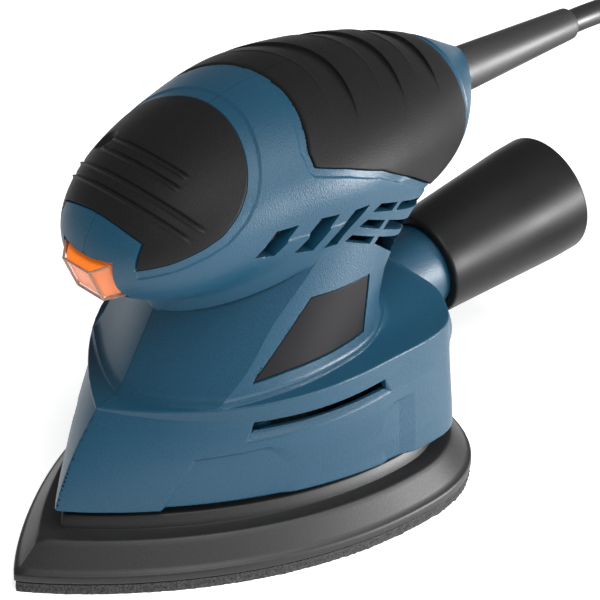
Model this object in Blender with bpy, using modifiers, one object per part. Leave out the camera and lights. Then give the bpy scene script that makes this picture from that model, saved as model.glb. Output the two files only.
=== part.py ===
"""Corded delta sander: a palm-grip machine that shakes an iron-shaped sanding pad in a small circle.

Everything is designed in millimetres, with y measured backwards from the pad's tip, x to the tool's
own left and z up from the underside of the pad. The built model is in metres and has its origin on
the floor, below the middle of the tool.
"""

import math

import bmesh
import bpy
from mathutils import Matrix, Vector

MM = 0.001
GAP = 0.3  # kept between pieces that touch

# ---- Driving dimensions ----------------------------------------------------------------------

PAD_LENGTH = 140.0
PAD_HALF_WIDTH = 50.0
PAD_WIDEST = 99.0
PAD_TOP = 13.0

SKIRT_BOTTOM = 19.0
SKIRT_HALF_WIDTH = 43.0
SKIRT_REAR = 127.5
WALL = 2.2

MOTOR_Y = 80.0
ORBIT_RADIUS = 0.8
STATOR_RADIUS = 22.6

GUARD_Z = 98.5
GUARD_START = 133.0
GUARD_END = 203.0

TUBE_TILT = math.radians(5.1)
TUBE_ANCHOR = (0.0, 148.4, 41.6)  # a point on the dust tube's axis
TUBE_RADIUS = 12.4
TUBE_BORE = 10.2
ADAPTER_START = 146.0
ADAPTER_END = 196.5

CORD_DIAMETER = 7.0
COIL_CENTRE = (19.0, 303.0)
COIL_MIDDLE_RADIUS = 38.5
COIL_LAYER_RISE = 7.0

CENTRE_Y = GUARD_END / 2  # the tool reaches from the pad's tip, y = 0, to the end of the cord guard

# The hand grip is an egg lying along y. Its sections are ellipses, at equal turns from nose to tail.
EGG_FRONT = 26.7
EGG_REAR = 160.0
EGG_WIDEST = 0.55  # the share of a section's height at which it is widest
EGG_ROWS = (  # half width, top, bottom
    (0.0, 88.5, 88.5),
    (15.0, 101.5, 80.0),
    (25.2, 112.5, 74.0),
    (31.0, 120.0, 72.2),
    (35.0, 123.0, 72.8),
    (30.2, 121.0, 72.4),
    (21.0, 115.3, 75.0),
    (9.7, 108.0, 84.0),
    (0.0, 104.0, 104.0),
)
EGG_RINGS = 18
EGG_SIDES = 24

# The chin below the nose is half an ellipsoid. Its flatter upper half is inside the egg.
CHIN_CENTRE = (0.0, 77.0, 92.5)
CHIN_RADII = (25.3, 44.5, 31.5)
CHIN_FLATTENING = 0.5

# The neck between the egg and the skirt, as iron-shaped outlines at rising heights.
NECK_ROWS = (  # z, front, widest y, rear, half width
    (42.0, 33.0, 71.0, 117.0, 35.5),
    (52.0, 39.5, 74.0, 116.0, 35.0),
    (62.0, 46.0, 80.0, 115.0, 34.3),
    (70.0, 51.0, 87.0, 115.5, 33.6),
    (78.0, 56.0, 94.0, 119.0, 33.0),
    (86.0, 61.0, 98.0, 128.0, 32.4),
    (92.0, 65.0, 100.0, 133.0, 32.0),
)
NECK_POWERS = (2.0, 1.4, 2.6)

SKIRT_ROWS = (  # z, widest y, half width, nose power
    (SKIRT_BOTTOM, 104.0, SKIRT_HALF_WIDTH, 2.0),
    (26.0, 102.0, SKIRT_HALF_WIDTH, 2.1),
    (34.0, 100.0, SKIRT_HALF_WIDTH - 0.4, 2.3),
    (42.0, 98.0, SKIRT_HALF_WIDTH - 0.8, 2.45),
    (46.0, 97.0, SKIRT_HALF_WIDTH - 0.8, 2.6),
    (56.0, 96.0, SKIRT_HALF_WIDTH - 0.8, 2.8),
)
SKIRT_HEEL = 4.0
ROOF_LINE = ((24.0, 44.2), (36.0, 46.1), (50.0, 48.2), (64.0, 50.0), (80.0, 51.2), (96.0, 51.8))
HUMP = (33.0, 44.0, 13.0)  # half width, height of its axis and its rise, above the dust tube

# Side outlines, as (y, z), that cut the grips and the label out of the skin.
FRONT_GRIP_ARC = ((32.3, 91.2), (56.0, 103.4), (70.6, 122.0))
REAR_GRIP_LINE = ((88.3, 123.0), (82.3, 117.0), (79.4, 110.0), (88.0, 107.6), (98.4, 103.6),
                  (109.3, 97.1), (122.7, 87.8), (143.5, 80.0))
LABEL_LINE = ((76.5, 73.0), (95.5, 73.0), (93.5, 56.3), (84.5, 56.3), (74.0, 56.3), (66.5, 55.7),
              (58.5, 53.7), (65.8, 62.8), (73.2, 70.4))
GRIP_DEPTH = 1.6
LABEL_DEPTH = 0.8

# Side openings of the housing, as (y, z).
VENT_SLOTS = (
    ((60.2, 89.8), (66.0, 88.5), (71.8, 96.5), (65.4, 96.6)),
    ((71.8, 87.6), (77.6, 86.4), (83.6, 96.1), (78.2, 96.6)),
    ((83.4, 84.8), (88.2, 83.8), (94.2, 94.4), (90.0, 95.4)),
    ((95.6, 91.4), (98.4, 93.4), (119.0, 84.3), (118.0, 82.3)),
    ((92.8, 87.2), (96.0, 88.8), (112.0, 81.0), (111.0, 78.4)),
    ((87.6, 85.0), (90.6, 86.6), (108.5, 77.8), (107.0, 72.8), (99.4, 79.0)),
)
SKIRT_SLOT = ((54.0, 37.4), (96.0, 40.9), (93.0, 45.6), (57.5, 43.8))

SCREW_PLACES = ((53.0, 79.5, 13.0), (36.0, 33.0, 9.0),  # y, z and depth of head
                (109.0, 60.0, 13.0), (124.0, 80.0, 13.0))
POST_PLACES = (("front", 24.0, 62.0), ("rear", 30.0, 108.0))

SWITCH_CENTRE = (0.0, 30.9, 86.2)  # the middle of its opening in the nose
SWITCH_TILT = math.radians(24.0)

MATERIALS = {  # colour, roughness, metallic
    "body_blue": ((0.020, 0.085, 0.160), 0.45, 0.0),
    "grip_black": ((0.014, 0.014, 0.015), 0.62, 0.0),
    "gloss_black": ((0.010, 0.010, 0.011), 0.35, 0.0),
    "label_grey": ((0.035, 0.037, 0.040), 0.50, 0.0),
    "switch_orange": ((0.90, 0.20, 0.03), 0.35, 0.0),
    "boot_clear": ((0.45, 0.22, 0.16), 0.40, 0.0),
    "cord_black": ((0.012, 0.012, 0.013), 0.50, 0.0),
    "rubber_black": ((0.016, 0.016, 0.016), 0.75, 0.0),
    "hook_black": ((0.020, 0.020, 0.020), 0.95, 0.0),
    "shroud_grey": ((0.42, 0.42, 0.41), 0.45, 0.0),
    "steel": ((0.55, 0.55, 0.56), 0.30, 1.0),
    "lamination": ((0.28, 0.28, 0.30), 0.45, 1.0),
    "copper": ((0.72, 0.33, 0.16), 0.35, 1.0),
    "brass": ((0.78, 0.58, 0.26), 0.30, 1.0),
    "carbon": ((0.03, 0.03, 0.035), 0.60, 0.0),
    "lead_brown": ((0.16, 0.06, 0.02), 0.50, 0.0),
    "lead_blue": ((0.03, 0.12, 0.50), 0.50, 0.0),
    "capacitor_yellow": ((0.75, 0.50, 0.05), 0.45, 0.0),
}


# ---- Scene and small tools -------------------------------------------------------------------

def clear_scene():
    for item in list(bpy.data.objects):
        bpy.data.objects.remove(item, do_unlink=True)


def add_collection(name):
    collection = bpy.data.collections.new(name)
    bpy.context.scene.collection.children.link(collection)
    return collection


clear_scene()
PARTS = add_collection("delta_sander")
CUTTERS = add_collection("cutters")


def place(x, y, z):
    """Turn a point of the design, in millimetres, into the model's metres."""
    return Vector((x, y - CENTRE_Y, z)) * MM


def material(slot):
    if slot in bpy.data.materials:
        return bpy.data.materials[slot]
    colour, roughness, metallic = MATERIALS[slot]
    made = bpy.data.materials.new(slot)
    made.use_nodes = True
    shader = made.node_tree.nodes["Principled BSDF"]
    shader.inputs["Base Color"].default_value = (*colour, 1.0)
    shader.inputs["Roughness"].default_value = roughness
    shader.inputs["Metallic"].default_value = metallic
    made.diffuse_color = (*colour, 1.0)
    return made


def object_from(bm, name):
    """Make a guide object, hidden from the build, out of a bmesh whose points are in metres."""
    bmesh.ops.recalc_face_normals(bm, faces=bm.faces)
    mesh = bpy.data.meshes.new(name)
    bm.to_mesh(mesh)
    bm.free()
    made = bpy.data.objects.new(name, mesh)
    CUTTERS.objects.link(made)
    made.hide_render = True
    made.display_type = "WIRE"
    return made


def keep(item, name, slot):
    """Turn a guide object into a finished part."""
    CUTTERS.objects.unlink(item)
    PARTS.objects.link(item)
    item.name = name
    item.hide_render = False
    item.display_type = "TEXTURED"
    item.data.materials.clear()
    item.data.materials.append(material(slot))
    item.data.shade_smooth()
    item.data.set_sharp_from_angle(angle=math.radians(35))
    return item


def applied(item):
    """Replace an object's mesh by its evaluated one, and drop its modifiers."""
    bpy.context.view_layer.update()
    evaluated = item.evaluated_get(bpy.context.evaluated_depsgraph_get())
    item.data = bpy.data.meshes.new_from_object(evaluated)
    item.modifiers.clear()
    return item


def largest_body(item):
    """Weld what rounding left apart, and drop the slivers that a long chain of cuts leaves."""
    bm = bmesh.new()
    bm.from_mesh(item.data)
    bmesh.ops.remove_doubles(bm, verts=bm.verts, dist=0.00001)
    bmesh.ops.dissolve_degenerate(bm, edges=bm.edges, dist=0.00001)
    bodies, seen = [], set()
    for start in bm.verts:
        if start in seen:
            continue
        body, waiting = [], [start]
        seen.add(start)
        while waiting:
            vertex = waiting.pop()
            body.append(vertex)
            for edge in vertex.link_edges:
                other = edge.other_vert(vertex)
                if other not in seen:
                    seen.add(other)
                    waiting.append(other)
        bodies.append(body)
    bodies.sort(key=len)
    for body in bodies[:-1]:
        bmesh.ops.delete(bm, geom=body, context="VERTS")
    bm.to_mesh(item.data)
    bm.free()
    return item


def boolean(item, tool, operation):
    """Every tool here is a closed solid, and the exact solver leaves the housing's long chain of
    cuts with open edges, so the manifold solver makes them."""
    step = item.modifiers.new(operation, "BOOLEAN")
    step.operation = operation
    step.solver = "MANIFOLD"
    step.object = tool
    return applied(item)


def cut(item, *tools):
    for tool in tools:
        boolean(item, tool, "DIFFERENCE")
    return item


def join(item, *tools):
    for tool in tools:
        boolean(item, tool, "UNION")
    return item


def common(item, tool):
    return boolean(item, tool, "INTERSECT")


def copy_of(item):
    made = item.copy()
    made.data = item.data.copy()
    CUTTERS.objects.link(made)
    return made


# ---- Shape makers ----------------------------------------------------------------------------

def loft(name, rings, poles=None):
    """Skin equal rings of design points. The ends are flat, or run to the two given poles."""
    bm = bmesh.new()
    rows = [[bm.verts.new(place(*point)) for point in ring] for ring in rings]
    count = len(rows[0])
    for row, following in zip(rows, rows[1:]):
        for k in range(count):
            after = (k + 1) % count
            bm.faces.new((row[k], row[after], following[after], following[k]))
    if poles:
        for row, pole in ((rows[0], poles[0]), (rows[-1], poles[1])):
            tip = bm.verts.new(place(*pole))
            for k in range(count):
                bm.faces.new((row[k], row[(k + 1) % count], tip))
    else:
        bm.faces.new(rows[0])
        bm.faces.new(rows[-1])
    return object_from(bm, name)


def prism_along_x(name, outline, x_from, x_to):
    """Push a side outline of (y, z) points across the tool."""
    return loft(name, [[(x, y, z) for y, z in outline] for x in (x_from, x_to)])


def plate(name, outline, z_from, z_to):
    """A flat piece from an outline of (x, y) points."""
    return loft(name, [[(x, y, z) for x, y in outline] for z in (z_from, z_to)])


def box(name, low, high):
    corners = ((low[0], low[1]), (high[0], low[1]), (high[0], high[1]), (low[0], high[1]))
    return plate(name, corners, low[2], high[2])


def cylinder(name, start, end, radius, sides=16, end_radius=None):
    """A cylinder or a cone between two design points."""
    first = place(*start)
    axis = place(*end) - first
    bm = bmesh.new()
    bmesh.ops.create_cone(bm, cap_ends=True, segments=sides, radius1=radius * MM,
                          radius2=(radius if end_radius is None else end_radius) * MM,
                          depth=axis.length)
    turn = Vector((0, 0, 1)).rotation_difference(axis).to_matrix().to_4x4()
    bmesh.ops.transform(bm, matrix=Matrix.Translation(first + axis / 2) @ turn, verts=bm.verts)
    return object_from(bm, name)


def turned(name, profile, origin, direction=(0, 0, 1), sides=32):
    """Turn a profile of (radius, height) points about an axis through a design point.

    The profile goes down the outer side and back up the bore, or down to the axis.
    """
    mesh = bpy.data.meshes.new(name)
    points = [(radius * MM, 0.0, height * MM) for radius, height in profile]
    solid = profile[0][0] == 0
    count = len(points)
    edges = [(k, k + 1) for k in range(count - 1)]
    if not solid:
        edges.append((count - 1, 0))
    mesh.from_pydata(points, edges, [])
    made = bpy.data.objects.new(name, mesh)
    CUTTERS.objects.link(made)
    made.hide_render = True
    made.display_type = "WIRE"
    screw = made.modifiers.new("turn", "SCREW")
    screw.steps = sides
    screw.render_steps = sides
    screw.use_merge_vertices = True
    screw.merge_threshold = 0.00005
    applied(made)
    bm = bmesh.new()
    bm.from_mesh(made.data)
    turn = Vector((0, 0, 1)).rotation_difference(Vector(direction)).to_matrix().to_4x4()
    bmesh.ops.transform(bm, matrix=Matrix.Translation(place(*origin)) @ turn, verts=bm.verts)
    bmesh.ops.recalc_face_normals(bm, faces=bm.faces)
    bm.to_mesh(made.data)
    bm.free()
    return made


def tube_along(name, points, radius, resolution=2):
    """A cord or wire: a curve with a round section, made a mesh."""
    curve = bpy.data.curves.new(name, "CURVE")
    curve.dimensions = "3D"
    curve.bevel_depth = radius * MM
    curve.bevel_resolution = resolution
    curve.use_fill_caps = True
    spline = curve.splines.new("POLY")
    spline.points.add(len(points) - 1)
    for target, point in zip(spline.points, points):
        target.co = (*place(*point), 1.0)
    guide = bpy.data.objects.new(name, curve)
    CUTTERS.objects.link(guide)
    bpy.context.view_layer.update()
    evaluated = guide.evaluated_get(bpy.context.evaluated_depsgraph_get())
    bm = bmesh.new()
    bm.from_mesh(bpy.data.meshes.new_from_object(evaluated))
    bmesh.ops.remove_doubles(bm, verts=bm.verts, dist=0.00001)
    bpy.data.objects.remove(guide, do_unlink=True)
    return object_from(bm, name)


def between(rows, turn):
    """Read a smooth curve through evenly spaced rows, at a turn from 0 to 1."""
    last = len(rows) - 1
    position = min(max(turn, 0.0), 1.0) * last
    k = min(int(position), last - 1)
    t = position - k
    values = []
    for column in range(len(rows[0])):
        b, c = rows[k][column], rows[k + 1][column]
        a = rows[k - 1][column] if k > 0 else 2 * b - c
        d = rows[k + 2][column] if k + 2 <= last else 2 * c - b
        values.append(b + 0.5 * t * (c - a + t * (2 * a - 5 * b + 4 * c - d
                                                  + t * (3 * (b - c) + d - a))))
    return values


def smooth_route(points, step):
    """Points every few millimetres along a smooth curve through a route's own points."""
    route = []
    for k in range(len(points) - 1):
        count = max(1, round(math.dist(points[k], points[k + 1]) / step))
        route += [between(points, (k + n / count) / (len(points) - 1)) for n in range(count)]
    route.append(list(points[-1]))
    return route


def arc_through(first, middle, last, count):
    """Points along the circle through three (y, z) points."""
    (ay, az), (by, bz), (cy, cz) = first, middle, last
    twice_area = 2 * (ay * (bz - cz) + by * (cz - az) + cy * (az - bz))
    a2, b2, c2 = ay * ay + az * az, by * by + bz * bz, cy * cy + cz * cz
    centre_y = (a2 * (bz - cz) + b2 * (cz - az) + c2 * (az - bz)) / twice_area
    centre_z = (a2 * (cy - by) + b2 * (ay - cy) + c2 * (by - ay)) / twice_area
    radius = math.hypot(ay - centre_y, az - centre_z)
    start = math.atan2(az - centre_z, ay - centre_y)
    sweep = math.atan2(cz - centre_z, cy - centre_y) - start
    return [(centre_y + radius * math.cos(start + sweep * k / count),
             centre_z + radius * math.sin(start + sweep * k / count)) for k in range(count + 1)]


def iron_outline(front, widest, rear, half_width, powers, steps=11):
    """The (x, y) outline of an iron's sole: a pointed nose, full sides and a blunt heel."""
    nose, tip, heel = powers
    side = []
    for k in range(1, steps):
        u = 1 - k / steps
        side.append((half_width * (1 - u ** nose) ** (1 / tip), widest - u * (widest - front)))
    heel_steps = steps * 2 // 3
    for k in range(heel_steps):
        angle = math.pi / 2 * k / heel_steps
        side.append((half_width * math.cos(angle) ** (2 / heel),
                     widest + (rear - widest) * math.sin(angle) ** (2 / heel)))
    return [(0.0, front), *side, (0.0, rear), *((-x, y) for x, y in reversed(side))]


def tube_point(y):
    """The point of the dust tube's axis at the given y."""
    return (0.0, y, TUBE_ANCHOR[2] + (y - TUBE_ANCHOR[1]) * math.tan(TUBE_TILT))


TUBE_DIRECTION = (0.0, math.cos(TUBE_TILT), math.sin(TUBE_TILT))


# ---- The skin of the housing, and copies of it set in --------------------------------------

def egg(inset, ring_count=EGG_RINGS, sides=EGG_SIDES):
    rings = []
    length = EGG_REAR - EGG_FRONT - 2 * inset
    for step in range(1, ring_count):
        turn = step / ring_count
        half_width, top, bottom = between(EGG_ROWS, turn)
        widest = bottom + EGG_WIDEST * (top - bottom)
        y = EGG_FRONT + inset + length * (1 - math.cos(math.pi * turn)) / 2
        half_width = max(half_width - inset, 0.4)
        rise = max(top - inset - widest, 0.4)
        fall = max(widest - bottom - inset, 0.4)
        rings.append([])
        for k in range(sides):
            angle = 2 * math.pi * (k + 0.5) / sides
            height = math.sin(angle) * (rise if math.sin(angle) > 0 else fall)
            rings[-1].append((half_width * math.cos(angle), y, widest + height))
    poles = [(0.0, EGG_FRONT + inset, EGG_ROWS[0][1]), (0.0, EGG_REAR - inset, EGG_ROWS[-1][1])]
    return loft("egg", rings, poles)


def chin():
    bm = bmesh.new()
    bmesh.ops.create_uvsphere(bm, u_segments=20, v_segments=10, radius=1.0)
    for vertex in bm.verts:
        if vertex.co.z > 0:
            vertex.co.z *= CHIN_FLATTENING
    size = Matrix.Diagonal((*(radius * MM for radius in CHIN_RADII), 1.0))
    bmesh.ops.transform(bm, matrix=Matrix.Translation(place(*CHIN_CENTRE)) @ size, verts=bm.verts)
    return object_from(bm, "chin")


def neck(inset, steps=11):
    rings = []
    for z, front, widest, rear, half_width in NECK_ROWS:
        outline = iron_outline(front + 1.3 * inset, widest, rear - inset, half_width - inset,
                               NECK_POWERS, steps)
        rings.append([(x, y, z) for x, y in outline])
    return loft("neck", rings)


def skirt_front(z):
    """How far back the raked prow is at a height. Above its top edge the roof cuts it off."""
    rise = min(z, ROOF_LINE[0][1]) - SKIRT_BOTTOM
    return 14.4 + 0.30 * rise + 0.0117 * rise * rise


def skirt(inset, steps=11):
    rings = []
    rows = SKIRT_ROWS if inset == 0 else ((8.0, *SKIRT_ROWS[0][1:]), *SKIRT_ROWS[1:])
    for z, widest, half_width, nose in rows:
        outline = iron_outline(skirt_front(max(z, SKIRT_BOTTOM)) + 2 * inset, widest,
                               SKIRT_REAR - inset, half_width - inset, (nose, 1.1, SKIRT_HEEL), steps)
        rings.append([(x, y, z) for x, y in outline])
    solid = loft("skirt", rings)
    roof = [(y, z - inset) for y, z in ROOF_LINE]
    side = [(0.0, roof[0][1] - 1.0), *roof, (140.0, roof[-1][1] + 0.4), (140.0, 0.0), (0.0, 0.0)]
    return common(solid, prism_along_x("roof", side, -60.0, 60.0))


def hump(inset):
    half_width, axis_z, rise = HUMP
    rings = []
    sides = 24
    for y in (98.0, SKIRT_REAR - 0.8 - inset):
        rings.append([])
        for k in range(sides):
            angle = 2 * math.pi * (k + 0.5) / sides
            rings[-1].append(((half_width - inset) * math.cos(angle), y,
                              axis_z + (rise - inset) * math.sin(angle)))
    return loft("hump", rings)


def outer_skin():
    tube = cylinder("tube", tube_point(110.0), tube_point(159.0), TUBE_RADIUS, 20)
    return join(egg(0.0), chin(), neck(0.0), skirt(0.0), hump(0.0), tube)


def inner_ribs():
    """What stands inside the two shells: stator plates, the bearing cup and the bosses."""
    ribs = [box("rib", (-40.0, 46.0, z), (40.0, 113.0, z + 2.0)) for z in (64.0, 84.0)]
    ribs.append(cylinder("cup", (0.0, MOTOR_Y, 104.0), (0.0, MOTOR_Y, 124.0), 10.8, 16))
    for y, z, _ in SCREW_PLACES:
        ribs.append(cylinder("boss", (-40.0, y, z), (40.0, y, z), 3.6, 8))
    for _, x, y in POST_PLACES:
        for side in (-x, x):
            ribs.append(cylinder("post_boss", (side, y, 30.0), (side, y, 60.0), 5.2, 8))
    return ribs


def hollow():
    space = egg(GRIP_DEPTH + GAP + 1.9, 12, 16)
    join(space, neck(WALL, 8), skirt(WALL, 8), hump(WALL))
    space = cut(space, *inner_ribs())
    return join(space, cylinder("bore", tube_point(118.0), tube_point(162.0), TUBE_BORE, 16))


def clearances():
    """Room for what the ribs would otherwise touch."""
    made = [
        cylinder("stator", (0.0, MOTOR_Y, 50.0), (0.0, MOTOR_Y, 104.0), STATOR_RADIUS + GAP, 20),
        cylinder("bearing", (0.0, MOTOR_Y, 100.0), (0.0, MOTOR_Y, 112.3), 8.3, 14),
        cylinder("plate", (0.0, MOTOR_Y, 30.0), (0.0, MOTOR_Y, 50.6), 27.4, 20),
        cylinder("guard", (0.0, 136.0, GUARD_Z), (0.0, 170.0, GUARD_Z), 6.9, 14),
        switch_box("opening", 9.7, 6.8, -8.2, 9.0),
        switch_box("switch_room", 8.0, 6.0, -22.0, -8.0),
    ]
    for y, z, head in SCREW_PLACES:
        made.append(cylinder("shank", (-40.0, y, z), (head - 0.4, y, z), 1.7, 8))
        made.append(cylinder("head", (-45.0, y, z), (-head, y, z), 2.9, 8))
    for outline in (*VENT_SLOTS, SKIRT_SLOT):
        for low, high in ((15.0, 50.0), (-50.0, -15.0)):
            made.append(prism_along_x("vent", outline, low, high))
    return made


def front_grip_side(spare):
    arc = arc_through(*FRONT_GRIP_ARC, 10)
    (nose_y, _), (_, top) = arc[0], arc[-1]
    low = [(y + spare, z - spare) for y, z in arc]
    return [(nose_y - spare, low[0][1]), *low, (low[-1][0], top + 8), (nose_y - spare, top + 8)]


def rear_grip_side(spare):
    lead, low = REAR_GRIP_LINE[:3], REAR_GRIP_LINE[3:]
    outline = [(y - spare, z - spare / 2) for y, z in lead] + [(y, z - 1.2 * spare) for y, z in low]
    end = outline[-1][0] + spare
    return [*outline[:-1], (end, outline[-1][1]), (end, 132.0), (lead[0][0] - spare, 132.0)]


def label_side(spare):
    middle_y = sum(y for y, _ in LABEL_LINE) / len(LABEL_LINE)
    middle_z = sum(z for _, z in LABEL_LINE) / len(LABEL_LINE)
    return [(y + spare * math.copysign(1, y - middle_y), z + spare * math.copysign(1, z - middle_z))
            for y, z in LABEL_LINE]


def skin_piece(skin, core, outline):
    """The part of a skin that is outside a core and inside a side outline."""
    piece = common(copy_of(skin), prism_along_x("side", outline, -60.0, 60.0))
    return cut(piece, core)


def split(item, name, slot):
    """Cut a piece along the tool's middle plane, into its left and right halves."""
    left = cut(copy_of(item), box("half", (-90.0, -20.0, -20.0), (GAP / 2, 260.0, 160.0)))
    right = cut(item, box("half", (-GAP / 2, -20.0, -20.0), (90.0, 260.0, 160.0)))
    for half, side in ((left, "left"), (right, "right")):
        keep(largest_body(half), f"{name}_{side}", slot)


# ---- The switch, in its own tilted frame ---------------------------------------------------

def switch_matrix():
    """Local y points out of the nose, forwards and a little down, and local z up the rocker."""
    lean, drop = math.cos(SWITCH_TILT), math.sin(SWITCH_TILT)
    turn = Matrix(((-1.0, 0.0, 0.0), (0.0, -lean, -drop), (0.0, -drop, lean)))
    return Matrix.Translation(place(*SWITCH_CENTRE)) @ turn.to_4x4()


def switch_block(name, sections):
    """A block of rectangular sections: how far out, half width, lower edge and upper edge."""
    matrix = switch_matrix()
    rings = []
    for out, half_width, low, high in sections:
        corners = ((-half_width, low), (half_width, low), (half_width, high), (-half_width, high))
        rings.append([matrix @ (Vector((x, out, up)) * MM) / MM for x, up in corners])
    return loft(name, [[(x, y + CENTRE_Y, z) for x, y, z in ring] for ring in rings])


def switch_box(name, half_width, half_height, out_from, out_to):
    return switch_block(name, [(out, half_width, -half_height, half_height)
                               for out in (out_from, out_to)])


def make_switch():
    """The orange rocker, the clear soft boot that covers it, and the switch behind them."""
    rocker = ((-5.0, 8.4, -5.5, 5.5), (0.0, 8.4, -5.5, 5.5), (3.3, 4.6, -4.8, 5.0))
    keep(switch_block("rocker", rocker), "switch_rocker", "switch_orange")
    boot = switch_block("boot", ((-4.6, 9.2, -6.2, 6.2), (0.0, 9.2, -6.2, 6.2), (4.6, 5.7, -6.0, 6.0)))
    inside = ((-9.0, 8.7, -5.8, 5.8), (0.0, 8.7, -5.8, 5.8), (3.7, 4.95, -5.2, 5.4))
    keep(cut(boot, switch_block("inside", inside)), "switch_boot", "boot_clear")
    keep(switch_box("body", 7.5, 5.5, -20.0, -8.4), "switch_body", "gloss_black")


# ---- Parts -----------------------------------------------------------------------------------

def make_housing():
    skin = outer_skin()
    grip_core = egg(GRIP_DEPTH)
    front = skin_piece(egg(0.0), grip_core, front_grip_side(0.0))
    rear = skin_piece(egg(0.0), grip_core, rear_grip_side(0.0))
    label = skin_piece(neck(0.0), neck(LABEL_DEPTH), label_side(0.0))

    shell = cut(copy_of(skin), hollow())
    grip_floor = egg(GRIP_DEPTH + GAP)
    cut(shell, skin_piece(egg(-2.0), grip_floor, front_grip_side(GAP)))
    cut(shell, skin_piece(egg(-2.0), grip_floor, rear_grip_side(GAP)))
    cut(shell, skin_piece(neck(-2.0), neck(LABEL_DEPTH + GAP), label_side(GAP)))
    cut(shell, *clearances())

    split(shell, "housing", "body_blue")
    split(front, "front_grip", "grip_black")
    split(rear, "rear_grip", "grip_black")
    split(label, "label", "label_grey")


def make_housing_screws():
    head_height = 2.2
    for number, (y, z, head) in enumerate(SCREW_PLACES, start=1):
        tip = 1.2 - 2 * head
        profile = ((0.0, 0.0), (2.4, 0.0), (2.4, -head_height), (1.4, -head_height - 0.2),
                   (1.4, tip + 1.0), (0.0, tip))
        screw = turned("screw", profile, (-head - head_height - 0.4, y, z), (-1, 0, 0), 8)
        keep(screw, f"housing_screw_{number}", "steel")


def make_pad():
    outlines = []
    for z, inset in ((3.3, 0.0), (5.9, 0.0), (PAD_TOP, 5.6), (PAD_TOP, 10.0), (17.0, 10.6)):
        outline = iron_outline(1.6 * inset, PAD_WIDEST, PAD_LENGTH - inset,
                               PAD_HALF_WIDTH - inset, (2.0, 1.1, 2.55), 13)
        outlines.append([(x, y, z) for x, y in outline])
    pad = loft("pad", outlines)
    hub_y = MOTOR_Y + ORBIT_RADIUS
    join(pad, cylinder("hub", (0.0, hub_y, 12.0), (0.0, hub_y, 21.4), 15.0, 24))
    cut(pad, cylinder("seat", (0.0, hub_y, 13.6), (0.0, hub_y, 30.0), 11.3, 20))
    keep(pad, "pad_plate", "gloss_black")

    sole = iron_outline(0.0, PAD_WIDEST, PAD_LENGTH, PAD_HALF_WIDTH, (2.0, 1.1, 2.55), 13)
    keep(plate("sole", sole, 0.0, 3.0), "hook_layer", "hook_black")

    bearing = ((11.0, 7.0), (11.0, 0.0), (4.3, 0.0), (4.3, 7.0))
    keep(turned("bearing", bearing, (0.0, hub_y, 13.9), sides=20), "pad_bearing", "steel")


def make_posts():
    for end, x, y in POST_PLACES:
        for side, name in ((x, "left"), (-x, "right")):
            profile = ((0.0, 29.7), (4.2, 29.7), (4.6, 28.6), (3.5, 26.5), (3.5, 20.5), (4.6, 18.4),
                       (4.2, 17.3), (0.0, 17.3))
            post = turned("post", profile, (side, y, 0.0), sides=10)
            keep(post, f"rubber_post_{end}_{name}", "rubber_black")


def make_rotor():
    axis = (0.0, MOTOR_Y, 0.0)
    shaft = ((0.0, 111.5), (2.9, 111.5), (2.9, 60.0), (3.7, 59.6), (3.7, 29.0), (0.0, 29.0))
    keep(turned("shaft", shaft, axis, sides=20), "motor_shaft", "steel")

    core = ((13.4, 88.0), (13.4, 60.0), (3.4, 60.0), (3.4, 88.0))
    armature = turned("core", core, axis, sides=24)
    keep(armature, "armature_core", "lamination")

    for name, low, high in (("lower", 55.6, 59.7), ("upper", 88.3, 92.4)):
        bore = 4.1 if name == "lower" else 3.3
        winding = ((11.2, high), (12.0, (low + high) / 2), (11.2, low), (bore, low), (bore, high))
        keep(turned("winding", winding, axis, sides=18), f"armature_winding_{name}", "copper")

    ring = ((9.0, 103.4), (9.0, 94.5), (8.2, 94.5), (8.2, 92.8), (3.3, 92.8), (3.3, 103.4))
    keep(turned("commutator", ring, axis, sides=18), "commutator", "copper")

    hub = turned("hub", ((22.0, 35.4), (22.0, 33.8), (4.1, 33.8), (4.1, 43.0), (7.0, 43.0),
                         (8.5, 35.4)), axis, sides=24)
    for k in range(7):
        angle = 2 * math.pi * k / 7
        lean = 0.5
        inner = (8.0 * math.cos(angle), MOTOR_Y + 8.0 * math.sin(angle))
        outer = (21.5 * math.cos(angle + lean), MOTOR_Y + 21.5 * math.sin(angle + lean))
        across = Vector((outer[1] - inner[1], inner[0] - outer[0])).normalized() * 0.7
        blade = [(inner[0] + across.x, inner[1] + across.y), (outer[0] + across.x, outer[1] + across.y),
                 (outer[0] - across.x, outer[1] - across.y), (inner[0] - across.x, inner[1] - across.y)]
        join(hub, plate("blade", blade, 34.6, 43.0))
    keep(hub, "fan", "shroud_grey")

    weight = turned("weight", ((8.0, 32.5), (8.0, 23.4), (0.0, 23.4), (0.0, 28.6), (4.1, 28.6),
                               (4.1, 32.5)), axis, sides=20)
    half_disc = [(18.5 * math.cos(math.radians(k)), MOTOR_Y - 18.5 * abs(math.sin(math.radians(k))))
                 for k in range(0, 181, 15)]
    join(weight, plate("mass", half_disc, 23.4, 31.0))
    cut(weight, cylinder("bore", (0.0, MOTOR_Y, 28.6), (0.0, MOTOR_Y, 40.0), 4.1, 20))
    pin_y = MOTOR_Y + ORBIT_RADIUS
    join(weight, cylinder("pin", (0.0, pin_y, 14.2), (0.0, pin_y, 24.0), 4.0, 20))
    keep(weight, "eccentric_weight", "steel")


def sector(name, inner, outer, middle, half_angle, z_from, z_to):
    """Part of a ring about the motor's axis, with angles in degrees from +x."""
    steps = 8
    angles = [math.radians(middle - half_angle + 2 * half_angle * k / steps) for k in range(steps + 1)]
    rim = [(outer * math.cos(a), MOTOR_Y + outer * math.sin(a)) for a in angles]
    bore = [(inner * math.cos(a), MOTOR_Y + inner * math.sin(a)) for a in reversed(angles)]
    return plate(name, rim + bore, z_from, z_to)


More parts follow.
